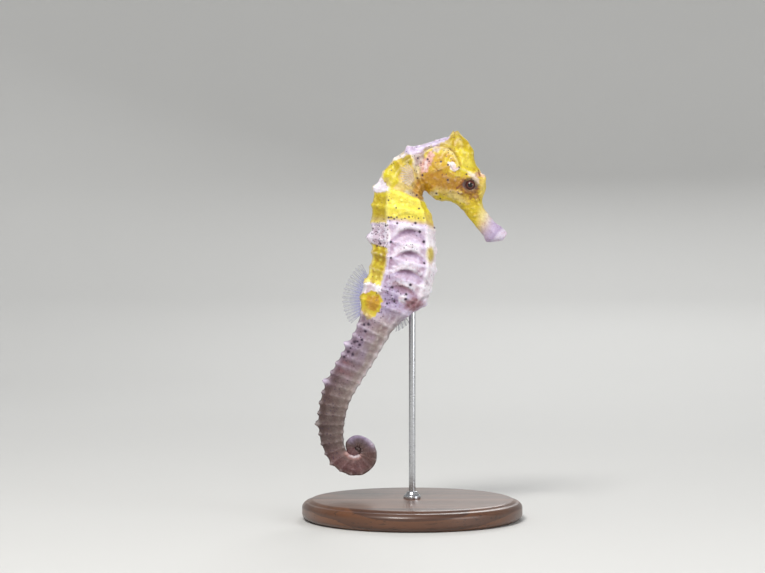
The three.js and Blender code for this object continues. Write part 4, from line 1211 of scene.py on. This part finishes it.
# %% Node helper
class Recipe:
    """A material being mixed: each call adds one node."""

    def __init__(self, name):
        self.material = bpy.data.materials.new(name)
        self.material.use_nodes = True
        self.tree = self.material.node_tree
        self.shader = self.tree.nodes["Principled BSDF"]

    def node(self, kind, out=0, settings=None, **inputs):
        """Adds a node and returns one of its outputs. Inputs are named, or numbered as i0, i1."""
        made = self.tree.nodes.new("ShaderNode" + kind)
        for key, value in (settings or {}).items():
            setattr(made, key, value)
        for key, value in inputs.items():
            numbered = key[0] == "i" and key[1:].isdigit()
            socket = made.inputs[int(key[1:]) if numbered else key.replace("_", " ")]
            self.feed(socket, value)
        return made.outputs[out]

    def feed(self, socket, value):
        """Links an output, or sets a plain value."""
        if isinstance(value, bpy.types.NodeSocket):
            self.tree.links.new(value, socket)
        else:
            socket.default_value = value

    def layer(self, name, out="Color"):
        """Reads an attribute kept on the mesh."""
        made = self.tree.nodes.new("ShaderNodeAttribute")
        made.attribute_name = name
        return made.outputs[out]

    def math(self, operation, a, b=0.0, clamp=False):
        """Works out one sum with a and b."""
        return self.node("Math", settings={"operation": operation, "use_clamp": clamp}, i0=a, i1=b)

    def ramp(self, value, low, high, out_low=0.0, out_high=1.0):
        """Maps low..high to out_low..out_high, with an easy slope."""
        ends = {"i1": low, "i2": high, "i3": out_low, "i4": out_high}
        return self.node("MapRange", 0, {"interpolation_type": "SMOOTHSTEP"}, i0=value, **ends)

    def mix(self, share, a, b, blend="MIX"):
        """Mixes two colours."""
        made = self.tree.nodes.new("ShaderNodeMix")
        made.data_type, made.blend_type = "RGBA", blend
        self.feed(made.inputs[0], share)
        self.feed(made.inputs[6], a)
        self.feed(made.inputs[7], b)
        return made.outputs[2]

    def noise(self, where, scale, detail=3.0, rough=0.55, distortion=0.0):
        """Soft noise. A scale of 1000 has features about 1 mm wide."""
        kinds = {"Detail": detail, "Roughness": rough, "Distortion": distortion}
        return self.node("TexNoise", Vector=where, Scale=scale, **kinds)

    def cells(self, where, scale, out="Distance"):
        """Cells of about that many to the metre: the distance to their middle, or their colour."""
        return self.node("TexVoronoi", out, Vector=where, Scale=scale)

    def bump(self, height, strength, distance_mm, under=None):
        """Tilts the surface's normal by a height, on top of another bump if one is given."""
        more = {"Normal": under} if under is not None else {}
        more["Distance"] = distance_mm * MM
        return self.node("Bump", Strength=strength, Height=height, **more)

    def finish(self, **values):
        """Sets or links the shader's sockets."""
        for key, value in values.items():
            self.feed(self.shader.inputs[key.replace("_", " ")], value)
        return self.material


print("calls of a recipe:", sum(not name.startswith("_") for name in vars(Recipe)))

# %% A paint for a socket
def rgba(colour):
    """A paint as the four numbers that a colour socket takes."""
    return (*[float(c) for c in colour], 1.0)


print("white, as a socket takes it:", [round(c, 2) for c in rgba(WHITE)])

# %% [markdown]
# ### Skin
# Seahorse skin is thin, moist and granular. Its colour is never even: each patch is a cloud of
# tiny pigment cells. So the ground colour is broken up by two sizes of mottling, speckles are
# drawn from cells whose size varies, and the dots come last. A little light goes under the
# surface. The shine is a satin one, with a thin wet coat.

# %% Mottling of the skin
BLUSH = pot(226, 196, 204)
skin_mix = Recipe("seahorse_skin")
place = skin_mix.node("TexCoord", "Object")
colour = skin_mix.layer("coat")
coarse = skin_mix.noise(place, 420.0, 4.0)
medium = skin_mix.noise(place, 950.0, 4.0, 0.65, 0.6)
fine = skin_mix.noise(place, 1900.0, 3.0, 0.6)
pigment = skin_mix.cells(place, 3600.0)
# what picks the place, where it starts and ends, share at start and end, paint, way of mixing
MOTTLING = [
    (coarse, 0.38, 0.72, 0.0, 0.12, UMBER, "MULTIPLY"),
    (medium, 0.5, 0.7, 0.0, 0.7, BLUSH, "MULTIPLY"),
    (medium, 0.47, 0.3, 0.0, 0.42, WHITE, "SOFT_LIGHT"),
    (fine, 0.5, 0.75, 0.0, 0.3, WHITE, "SOFT_LIGHT"),
    (pigment, 0.15, 0.45, 0.14, 0.0, UMBER, "MULTIPLY"),
]
for field, start, end, share, end_share, paint, blend in MOTTLING:
    colour = skin_mix.mix(
        skin_mix.ramp(field, start, end, share, end_share), colour, rgba(paint), blend)
# mauve in the dish between rings: partly the skin's own mauve, partly painted shade
in_dish = skin_mix.math("MULTIPLY", skin_mix.layer("dish", "Fac"), 0.16)
colour = skin_mix.mix(in_dish, colour, rgba(MAUVE), "MULTIPLY")
print("layers of mottling:", len(MOTTLING))

# %% [markdown]
# ### Speckles and dots in the material
# Both are finer than the mesh, so the material draws them. A speckle sits in the middle of a cell,
# and a cell has one only if its own random number is under the chance kept on the skin. A dot is
# where the way to the nearest dot, kept on the skin as a vector, is short.

# %% Speckles
SPECKLES = 1600.0
spot_chance = skin_mix.node("SeparateColor", i0=skin_mix.cells(place, SPECKLES, "Color"))
spot_size = skin_mix.ramp(skin_mix.noise(place, 1400.0, 1.0), 0.3, 0.7, 0.22, 0.42)
off_spot = skin_mix.math("SUBTRACT", skin_mix.cells(place, SPECKLES), spot_size)
speckled = skin_mix.ramp(off_spot, -0.06, 0.04, 1.0, 0.0)
chosen = skin_mix.math("LESS_THAN", spot_chance, skin_mix.layer("speckle", "Fac"))
speckled = skin_mix.math("MULTIPLY", speckled, chosen)
colour = skin_mix.mix(skin_mix.math("MULTIPLY", speckled, 0.8), colour, rgba(PLUM))
print("speckle cells to the millimetre:", SPECKLES * MM)

# %% Dots
ragged = skin_mix.math("MULTIPLY", skin_mix.math("SUBTRACT", fine, 0.5), 0.7)
dot_way = skin_mix.layer("to_dot", "Vector")
dot_length = skin_mix.node("VectorMath", "Value", {"operation": "LENGTH"}, i0=dot_way)
dot = skin_mix.ramp(skin_mix.math("ADD", dot_length, ragged), 0.75, 1.2, 1.0, 0.0)
truly_near = skin_mix.ramp(skin_mix.layer("dot_gap", "Fac"), 1.3, 1.6, 1.0, 0.0)
dot = skin_mix.math("MULTIPLY", dot, truly_near)
halo = skin_mix.ramp(skin_mix.layer("dot_gap", "Fac"), 1.0, 2.4, 0.3, 0.0)
colour = skin_mix.mix(halo, colour, rgba(MAUVE), "MULTIPLY")
colour = skin_mix.mix(dot, colour, rgba(PLUM))
print("skin nodes so far:", len(skin_mix.tree.nodes))

# %% Granules, gloss and glow of the skin
granules = skin_mix.ramp(skin_mix.cells(place, 2600.0), 0.05, 0.6, 1.0, 0.0)
pores = skin_mix.noise(place, 5200.0, 2.0)
bump = skin_mix.bump(medium, 0.5, 0.16)
bump = skin_mix.bump(granules, 0.45, 0.06, bump)
bump = skin_mix.bump(pores, 0.25, 0.03, bump)
skin_material = skin_mix.finish(
    Base_Color=colour,
    Roughness=skin_mix.ramp(coarse, 0.3, 0.7, 0.40, 0.56),
    Normal=bump,
    Subsurface_Weight=0.12,
    Subsurface_Radius=(1.0, 0.6, 0.4),
    Subsurface_Scale=0.8 * MM,
    Coat_Weight=0.18,
    Coat_Roughness=0.25,
)
seahorse_skin.data.materials.append(skin_material)
print("skin nodes:", len(skin_mix.tree.nodes))

# %% [markdown]
# ## Eyes
# A seahorse turns each eye on its own. The ball sits deep in its ring of skin and only the front
# shows: a dark pupil, and an iris with dark spokes over gold. The ball is turned like a lathe
# piece round its own axis, with the clear front bulging a little, and the iris is drawn by the
# material from the distance to the axis.

# %% Shapes turned as on a lathe
def turned(profile, turns):
    """Points and faces of a closed shape turned round Z. The profile runs pole to pole."""
    angles = np.linspace(0, 2 * math.pi, turns, endpoint=False)
    inner = profile[1:-1]
    rings = [[(r * math.cos(a), r * math.sin(a), h) for a in angles] for r, h in inner]
    points = [p for ring in rings for p in ring] + [(0, 0, profile[0][1]), (0, 0, profile[-1][1])]
    faces = tube_faces(len(inner), turns, len(points) - 2, len(points) - 1)
    points = np.array(points, float)
    return points, outward(points, faces)


print("points of a top with 8 sides:", len(turned([(0, 0), (1, 1), (0, 2)], 8)[0]))

# %% Eyeballs
BULGE, BULGE_REACH = 0.12, 0.85
ball_profile = []
for a in np.linspace(0, math.pi, 33):
    bulge = BULGE * float(hump(math.sin(a) * EYE_RADIUS, BULGE_REACH)) * (math.cos(a) > 0)
    ball_profile.append((EYE_RADIUS * math.sin(a), (EYE_RADIUS + bulge) * math.cos(a)))
ball_points, ball_faces = turned(ball_profile, 64)
eyes = []
for label, side in (("left", 1), ("right", -1)):
    turned_out = ball_points[:, [0, 2, 1]] * [1, side, 1]
    faces = outward(turned_out, ball_faces)
    at = (EYE_X, side * EYE_Y, EYE_Z)
    eyes.append(make_piece(f"eyeball_{label}", turned_out, faces, "eye", (f"eye_{label}",), at))
print("eyes:", [eye.name for eye in eyes])

# %% [markdown]
# ### Iris and pupil
# The iris is not an image. The distance to the ball's axis gives the pupil, the rim and a thin
# gold line, and a sine of the angle round the axis gives the spokes, pulled about by noise.

# %% Spokes of the iris
WINE, DARK_WINE, PUPIL_BLACK = pot(62, 20, 26), pot(70, 20, 28), pot(14, 3, 8)
SPOKES = 17.0
eye_mix = Recipe("eye")
place = eye_mix.node("TexCoord", "Object")
parts = eye_mix.tree.nodes.new("ShaderNodeSeparateXYZ")
eye_mix.feed(parts.inputs[0], place)
x_out, z_out = parts.outputs[0], parts.outputs[2]
squares = [eye_mix.math("MULTIPLY", out, out) for out in (x_out, z_out)]
off_axis = eye_mix.math("SQRT", eye_mix.math("ADD", *squares))
spoke_angle = eye_mix.math("MULTIPLY", eye_mix.math("ARCTAN2", z_out, x_out), SPOKES)
spokes = eye_mix.math("MULTIPLY", eye_mix.math("SINE", spoke_angle), 0.3)
uneven = eye_mix.noise(place, 1500.0, 3.0)
drift = eye_mix.math("MULTIPLY", eye_mix.math("SUBTRACT", uneven, 0.5), 5.0)
spokes = eye_mix.math("ADD", spokes, drift)
gold = eye_mix.mix(eye_mix.ramp(uneven, 0.35, 0.65), rgba(UMBER), rgba(GOLD))
iris = eye_mix.mix(eye_mix.ramp(spokes, -1.6, 0.6, 0.6, 1.0), gold, rgba(WINE))
print("spokes:", round(SPOKES))

# %% Rim, gold line and pupil
rim = eye_mix.ramp(off_axis, 0.98 * MM, 1.34 * MM, 1.0, 0.0)
iris = eye_mix.mix(rim, iris, rgba(DARK_WINE))
ring_starts = eye_mix.ramp(off_axis, 0.76 * MM, 0.82 * MM)
ring_ends = eye_mix.ramp(off_axis, 0.88 * MM, 0.96 * MM, 1.0, 0.0)
ring_line = eye_mix.math("MULTIPLY", ring_starts, ring_ends)
iris = eye_mix.mix(eye_mix.math("MULTIPLY", ring_line, 0.15), iris, rgba(GOLD))
pupil = eye_mix.ramp(off_axis, 0.74 * MM, 0.80 * MM, 1.0, 0.0)
iris = eye_mix.mix(pupil, iris, rgba(PUPIL_BLACK))
gloss = {"Specular_IOR_Level": 0.25, "Coat_Weight": 0.45, "Coat_Roughness": 0.04}
eye_material = eye_mix.finish(Base_Color=iris, Roughness=0.35, **gloss)
for eye in eyes:
    eye.data.materials.append(eye_material)
print("eye nodes:", len(eye_mix.tree.nodes))

# %% [markdown]
# ## Fins
# The dorsal fin drives a seahorse. It is a clear membrane on fine rays, so thin that it is seen
# only by its rays and its edge. Two small fins behind the gills steer, and a tiny one sits under
# the belly. Each is one closed sheet, thicker along its rays, with a small wave as in water.

# %% Faces of a fin
FOOT_POINTS, CELLS_PER_RAY, FIN_ROWS = 40, 8, 18


def fin_faces(rows, columns):
    """Faces of a thin closed sheet: its front, its rear, and the rim that joins them."""
    cell = lambda r, c: r * columns + c
    faces = []
    for r in range(rows - 1):
        for c in range(columns - 1):
            quad = [cell(r, c), cell(r, c + 1), cell(r + 1, c + 1), cell(r + 1, c)]
            faces.append(quad)
            faces.append([i + rows * columns for i in quad[::-1]])
    rim = [cell(0, c) for c in range(columns)] + [cell(r, columns - 1) for r in range(1, rows)]
    rim += [cell(rows - 1, c) for c in range(columns - 2, -1, -1)]
    rim += [cell(r, 0) for r in range(rows - 2, 0, -1)]
    for i, a in enumerate(rim):
        b = rim[(i + 1) % len(rim)]
        faces.append([b, a, a + rows * columns, b + rows * columns])
    return faces


print("faces of a sheet of 3 by 3 points:", len(fin_faces(3, 3)))

# %% A fin from its rays
def fin(name, roots, tips, rays, thick, wave, foot_tint, edge_tint, replaced):
    """A sheet from roots to tips with that many rays. The points run along the fin's foot."""
    columns, rows = (rays - 1) * CELLS_PER_RAY + 1, FIN_ROWS
    s = np.linspace(0, 1, columns)
    known = np.linspace(0, 1, len(roots))
    foot = np.stack([np.interp(s, known, roots[:, k]) for k in range(3)], -1)
    edge = np.stack([np.interp(s, known, tips[:, k]) for k in range(3)], -1)
    ray = hump((s * (rays - 1) + 0.5) % 1 - 0.5, 0.2)
    reach = np.linspace(0, 1, rows)[:, None, None]
    edge = foot + (edge - foot) * (0.93 + 0.07 * ray)[:, None]
    sheet = foot + (edge - foot) * reach
    flat = np.cross(edge[-1] - foot[0], edge[0] - foot[-1])
    flat /= np.linalg.norm(flat)
    ripple = wave * np.sin(s * 2.2 * math.pi + 0.6)[None, :] * reach[..., 0] ** 1.5
    sheet = sheet + ripple[..., None] * flat
    taper = np.linspace(1, 0.35, rows)[:, None]
    half = thick * (0.28 + 0.72 * ray[None, :]) * taper
    front, rear = sheet + half[..., None] * flat, sheet - half[..., None] * flat
    points = np.concatenate([front.reshape(-1, 3), rear.reshape(-1, 3)])
    faces = outward(points, fin_faces(rows, columns))
    piece = make_piece(name, points, faces, "fin_membrane", replaced)
    on_ray = np.tile(np.broadcast_to(ray, (rows, columns)).ravel(), 2)
    out_share = np.tile(np.broadcast_to(reach[..., 0], (rows, columns)).ravel(), 2)
    store(piece.data, "ray", "FLOAT", on_ray)
    store(piece.data, "reach", "FLOAT", out_share)
    tints = foot_tint + (edge_tint - foot_tint) * np.clip((out_share[:, None] - 0.1) / 0.6, 0, 1)
    store(piece.data, "tint", "FLOAT_COLOR", opaque(tints))
    return piece


print("points on one side of a fin with 17 rays:", (16 * CELLS_PER_RAY + 1) * FIN_ROWS)

# %% Feet and tips of the rays
def on_line(first, last, sunk, belly=False):
    """Points on the back or belly line between two rings, sunk a little into the skin."""
    back, under = body_lines(np.linspace(first, last, FOOT_POINTS))
    way = back - under
    way = way / np.linalg.norm(way, axis=1, keepdims=True)
    line = under + way * sunk if belly else back - way * sunk
    return np.stack([line[:, 0], np.zeros(FOOT_POINTS), line[:, 1]], -1)


def fanned(foot, first, last, reach_mm, lean=0.0, turn=1):
    """Tips of rays that fan out from the foot, between two angles in degrees."""
    angle = np.radians(np.interp(share, [0, 1], [first, last]))
    level, out = math.cos(lean), math.sin(lean)
    way = [-np.cos(angle) * level, np.full(FOOT_POINTS, out), np.sin(angle) * level]
    return foot + turn * np.stack(way, -1) * reach_mm[:, None]


share = np.linspace(0, 1, FOOT_POINTS)
print("points along each fin's foot:", FOOT_POINTS)

# %% Dorsal fin
CLEAR_GREY, RAY_BLUE, NEAR_CLEAR = pot(150, 152, 160), pot(112, 112, 196), pot(150, 150, 150)
foot = on_line(9.5, 12.2, 0.3)
tips = fanned(foot, 62, -42, 3.1 + 1.7 * np.sin(math.pi * share) ** 0.6 + 0.75)
dorsal = fin(
    "dorsal_fin_rays", foot, tips, 17, 0.11, 0.3, RAY_BLUE, CLEAR_GREY, ("dorsal_fin",))
print("dorsal fin:", len(dorsal.data.vertices), "vertices")

# %% Side fins and anal fin
SIDE_FIN_LEAN = math.radians(22)
HORN, PALE_HORN = pot(200, 172, 150), pot(232, 216, 190)
fins = [dorsal]
for label, side in (("left", 1), ("right", -1)):
    foot = np.stack([0.1 + 0.5 * share, np.full(FOOT_POINTS, side * 4.7), 104.4 - 3.2 * share], -1)
    tips = fanned(foot, 48, -48, 3 + 1.1 * np.sin(math.pi * share), side * SIDE_FIN_LEAN)
    name, replaced = f"pectoral_rays_{label}", (f"pectoral_fin_{label}",)
    fins.append(fin(name, foot, tips, 12, 0.1, 0.55 * side, HORN, PALE_HORN, replaced))
foot = on_line(11.15, 11.75, 0.25, belly=True)
tips = fanned(foot, 55, 95, 1.9 + 0.4 * np.sin(math.pi * share), turn=-1)
fins.append(
    fin("anal_fin_rays", foot, tips, 5, 0.1, 0.1, NEAR_CLEAR, CLEAR_GREY, ("anal_fin",)))
print("fins:", [piece.name for piece in fins])

# %% [markdown]
# ### Membrane
# A fin is nearly clear, and real glass would be slow to render and dark against the paper. So the
# sheet is given an alpha: more of it along the rays and near the foot, less out at the edge.

# %% Fin material
fin_mix = Recipe("fin_membrane")
ray_share = fin_mix.layer("ray", "Fac")
reach_share = fin_mix.layer("reach", "Fac")
place = fin_mix.node("TexCoord", "Object")
cloud = fin_mix.noise(place, 1500.0, 3.0)
near_foot = fin_mix.ramp(reach_share, 0.1, 0.75, 1.0, 0.0)
ray_paint = rgba(pot(206, 206, 220))
tint = fin_mix.mix(fin_mix.ramp(ray_share, 0.3, 0.9, 0.0, 0.45), fin_mix.layer("tint"), ray_paint)
ray_solid = fin_mix.math("MULTIPLY", ray_share, 0.38)
solid = fin_mix.math("ADD", ray_solid, fin_mix.math("MULTIPLY", near_foot, 0.14))
solid = fin_mix.math("ADD", solid, fin_mix.ramp(cloud, 0.3, 0.7, 0.05, 0.16), clamp=True)
gloss = {"Roughness": 0.32, "Coat_Weight": 0.3, "Coat_Roughness": 0.15}
fin_material = fin_mix.finish(
    Base_Color=tint, Alpha=solid, Normal=fin_mix.bump(cloud, 0.2, 0.04), **gloss)
for piece in fins:
    piece.data.materials.append(fin_material)
print("fin nodes:", len(fin_mix.tree.nodes))

# %% [markdown]
# ## The stand
# A museum model stands on something plain: here a turned disc of dark stained wood and a polished
# steel rod. The wood is one board, so its grain runs straight across the disc instead of round
# it. The edge is eased, as a turner leaves it, and a small collar hides the hole for the rod.

# %% Eased edges
def eased(profile, radius, steps=6):
    """The same profile with its inner corners rounded."""
    points = [profile[0]]
    for before, corner, after in zip(profile, profile[1:], profile[2:]):
        before, corner, after = map(np.array, (before, corner, after))
        to_before, to_after = before - corner, after - corner
        lengths = np.linalg.norm(to_before), np.linalg.norm(to_after)
        size = min(radius, lengths[0] * 0.45, lengths[1] * 0.45)
        a = corner + to_before / lengths[0] * size
        b = corner + to_after / lengths[1] * size
        for t in np.linspace(0, 1, steps):
            points.append(tuple((1 - t) ** 2 * a + 2 * t * (1 - t) * corner + t**2 * b))
    return points + [profile[-1]]


print("points of an eased square corner:", len(eased([(0, 0), (1, 0), (1, 1)], 0.2)))

# %% Base, collar and rod
# radius, height
BASE_PROFILE = [
    (0, 0), (31.6, 0), (33, 1.2), (33, 4.2), (32.0, 5.2), (31.2, 5.25), (30.2, 6.0), (0, 6.0),
]
ROD_PROFILE = [(0, 2.3), (1, 2.3), (1, 65), (0, 65)]
COLLAR_PROFILE = [(0, 5.9), (2.6, 5.9), (2.6, 6.9), (2.0, 7.3), (1.6, 8.2), (0, 8.2)]
base = turned(eased(BASE_PROFILE, 0.7), 160)
rod = turned(eased(ROD_PROFILE, 0.25), 48)
collar = turned(eased(COLLAR_PROFILE, 0.3), 64)
stand_base = make_piece("stand_base_wood", *base, "base_wood", ("stand_base",))
stand_rod = make_piece("stand_rod_steel", *rod, "rod_metal", ("stand_rod",))
stand_collar = make_piece("stand_collar", *collar, "rod_metal")
print("stand faces:", sum(len(faces) for points, faces in (base, rod, collar)))

# %% Wood
WALNUT, LIGHT_WALNUT = pot(74, 44, 28), pot(112, 70, 42)
DARK_STREAK, PORE_BROWN = pot(52, 30, 20), pot(34, 20, 14)
wood_mix = Recipe("base_wood")
place = wood_mix.node("TexCoord", "Object")
stretched = wood_mix.node("Mapping", i0=place, Scale=(0.14, 1.0, 1.0))
drift = wood_mix.noise(stretched, 60.0, 3.0)
pith = (0.0, 0.012, 0.045)
bowed = wood_mix.node("VectorMath", 0, {"operation": "ADD"}, i0=stretched, i1=pith)
rings = {"wave_type": "RINGS", "rings_direction": "X", "wave_profile": "SAW"}
wander = {"Distortion": 2.2, "Detail": 2.0, "i4": 1.2}
years = wood_mix.node("TexWave", "Fac", rings, Vector=bowed, Scale=90.0, **wander)
pore_field = wood_mix.node("Mapping", i0=place, Scale=(0.05, 1.0, 1.0))
wood_pores = wood_mix.ramp(wood_mix.noise(pore_field, 1500.0, 2.0), 0.56, 0.7)
timber = wood_mix.mix(years, rgba(WALNUT), rgba(LIGHT_WALNUT))
timber = wood_mix.mix(wood_mix.ramp(drift, 0.35, 0.7, 0.0, 0.5), timber, rgba(DARK_STREAK))
timber = wood_mix.mix(wood_mix.math("MULTIPLY", wood_pores, 0.6), timber, rgba(PORE_BROWN))
wood_material = wood_mix.finish(
    Base_Color=timber,
    Roughness=wood_mix.ramp(drift, 0.3, 0.7, 0.34, 0.46),
    Normal=wood_mix.bump(wood_pores, 0.3, -0.04),
    Coat_Weight=0.35,
    Coat_Roughness=0.18,
)
stand_base.data.materials.append(wood_material)
print("wood nodes:", len(wood_mix.tree.nodes))

# %% Steel
STEEL, LIGHT_STEEL = pot(176, 178, 182), pot(204, 205, 208)
steel_mix = Recipe("rod_metal")
place = steel_mix.node("TexCoord", "Object")
round_lines = steel_mix.node("Mapping", i0=place, Scale=(1.0, 1.0, 25.0))
brushed = steel_mix.noise(round_lines, 900.0, 2.0)
steel_material = steel_mix.finish(
    Base_Color=steel_mix.mix(steel_mix.ramp(brushed, 0.3, 0.7), rgba(STEEL), rgba(LIGHT_STEEL)),
    Metallic=1.0,
    Roughness=steel_mix.ramp(brushed, 0.3, 0.7, 0.2, 0.32),
    Normal=steel_mix.bump(brushed, 0.05, 0.01),
)
for piece in (stand_rod, stand_collar):
    piece.data.materials.append(steel_material)
print("steel nodes:", len(steel_mix.tree.nodes))

# %% [markdown]
# ## The studio
# A pale bowl stands in for a paper backdrop: it has a flat floor and a wall that curves up all
# round, so there is no horizon from any side. A large soft lamp above and in front models the
# rings, a weaker one fills from the other side, and a third lights the back edge.

# %% Sweep
# radius, height, in metres
SWEEP_PROFILE = [
    (0.35, 0), (0.6, 0.01), (0.85, 0.06), (1.0, 0.16), (1.1, 0.34), (1.15, 0.6), (1.16, 1.5),
]
SWEEP_TURNS = 96
angles = np.linspace(0, 2 * math.pi, SWEEP_TURNS, endpoint=False)
sweep_points = [(0.0, 0.0, 0.0)]
sweep_faces = []
for k, (r, h) in enumerate(SWEEP_PROFILE):
    sweep_points += [(r * math.cos(a), r * math.sin(a), h) for a in angles]
    for i in range(SWEEP_TURNS):
        j = (i + 1) % SWEEP_TURNS
        low = 1 + k * SWEEP_TURNS
        below = low - SWEEP_TURNS
        inner_edge = [below + i, below + j] if k else [0]
        sweep_faces.append([inner_edge[0], low + i, low + j, *inner_edge[1:]])
sweep_mesh = bpy.data.meshes.new("studio_sweep")
sweep_mesh.from_pydata(sweep_points, [], sweep_faces)
sweep_mesh.polygons.foreach_set("use_smooth", [True] * len(sweep_faces))
sweep = bpy.data.objects.new("studio_sweep", sweep_mesh)
bpy.context.collection.objects.link(sweep)
print("sweep", SWEEP_PROFILE[-1][0], "m in radius")

# %% Paper
PAPER, LIGHT_PAPER = pot(206, 206, 204), pot(212, 212, 210)
paper = Recipe("studio_paper")
paper_noise = paper.noise(paper.node("TexCoord", "Object"), 3.0)
paper_tone = paper.mix(paper_noise, rgba(PAPER), rgba(LIGHT_PAPER))
sweep_mesh.materials.append(paper.finish(Base_Color=paper_tone, Roughness=0.85))
print("paper nodes:", len(paper.tree.nodes))

# %% Lamps
LOOK_AT = (0.0, 0.0, 0.08)


def lamp(name, place_m, size_m, watts, tint=(1, 1, 1)):
    """A square soft lamp that looks at the middle of the animal."""
    light = bpy.data.lights.new(name, "AREA")
    light.shape, light.size, light.energy, light.color = "SQUARE", size_m, watts, tint
    holder = bpy.data.objects.new(name, light)
    bpy.context.collection.objects.link(holder)
    holder.location = place_m
    aim = Vector(LOOK_AT) - Vector(place_m)
    holder.rotation_euler = aim.to_track_quat("-Z", "Y").to_euler()
    return holder


lamp("key_lamp", (-0.20, -0.55, 0.70), 0.24, 6.6, (1.0, 0.98, 0.95))
lamp("fill_lamp", (0.65, -0.45, 0.25), 0.40, 2.3, (0.97, 0.98, 1.0))
lamp("back_lamp", (0.15, 0.75, 0.55), 0.35, 2.4)

# %% Air
AIR_COLOUR, AIR_STRENGTH = (0.92, 0.94, 1.0, 1.0), 0.40
world = bpy.data.worlds.new("studio_air")
world.use_nodes = True
air = world.node_tree.nodes["Background"]
air.inputs["Color"].default_value = AIR_COLOUR
air.inputs["Strength"].default_value = AIR_STRENGTH
bpy.context.scene.world = world
bpy.context.scene.view_settings.view_transform = "Standard"
print("strength of the air:", AIR_STRENGTH)

# %% [markdown]
# ### Camera
# A long lens looks level at the animal's right side. It stands so far off that the outline is
# almost that of a flat drawing, and its distance follows from the width that it has to show.

# %% Camera
LENS_MM, SENSOR_MM, VIEW_WIDTH, NEAREST = 85.0, 36.0, 0.2295, 0.01
VIEW_X, VIEW_Z = -0.0089, 0.0696
camera_data = bpy.data.cameras.new("camera")
camera_data.lens, camera_data.sensor_width = LENS_MM, SENSOR_MM
camera = bpy.data.objects.new("camera", camera_data)
bpy.context.collection.objects.link(camera)
distance = VIEW_WIDTH * LENS_MM / SENSOR_MM
camera.location = (VIEW_X, -distance, VIEW_Z)
camera.rotation_euler = (math.pi / 2, 0, 0)
camera_data.clip_start = NEAREST
bpy.context.scene.camera = camera
print("camera stands", round(distance, 3), "m away")

# %% [markdown]
# ## The end
# The last line of the lesson updates the scene.

# %% Finish
bpy.context.view_layer.update()
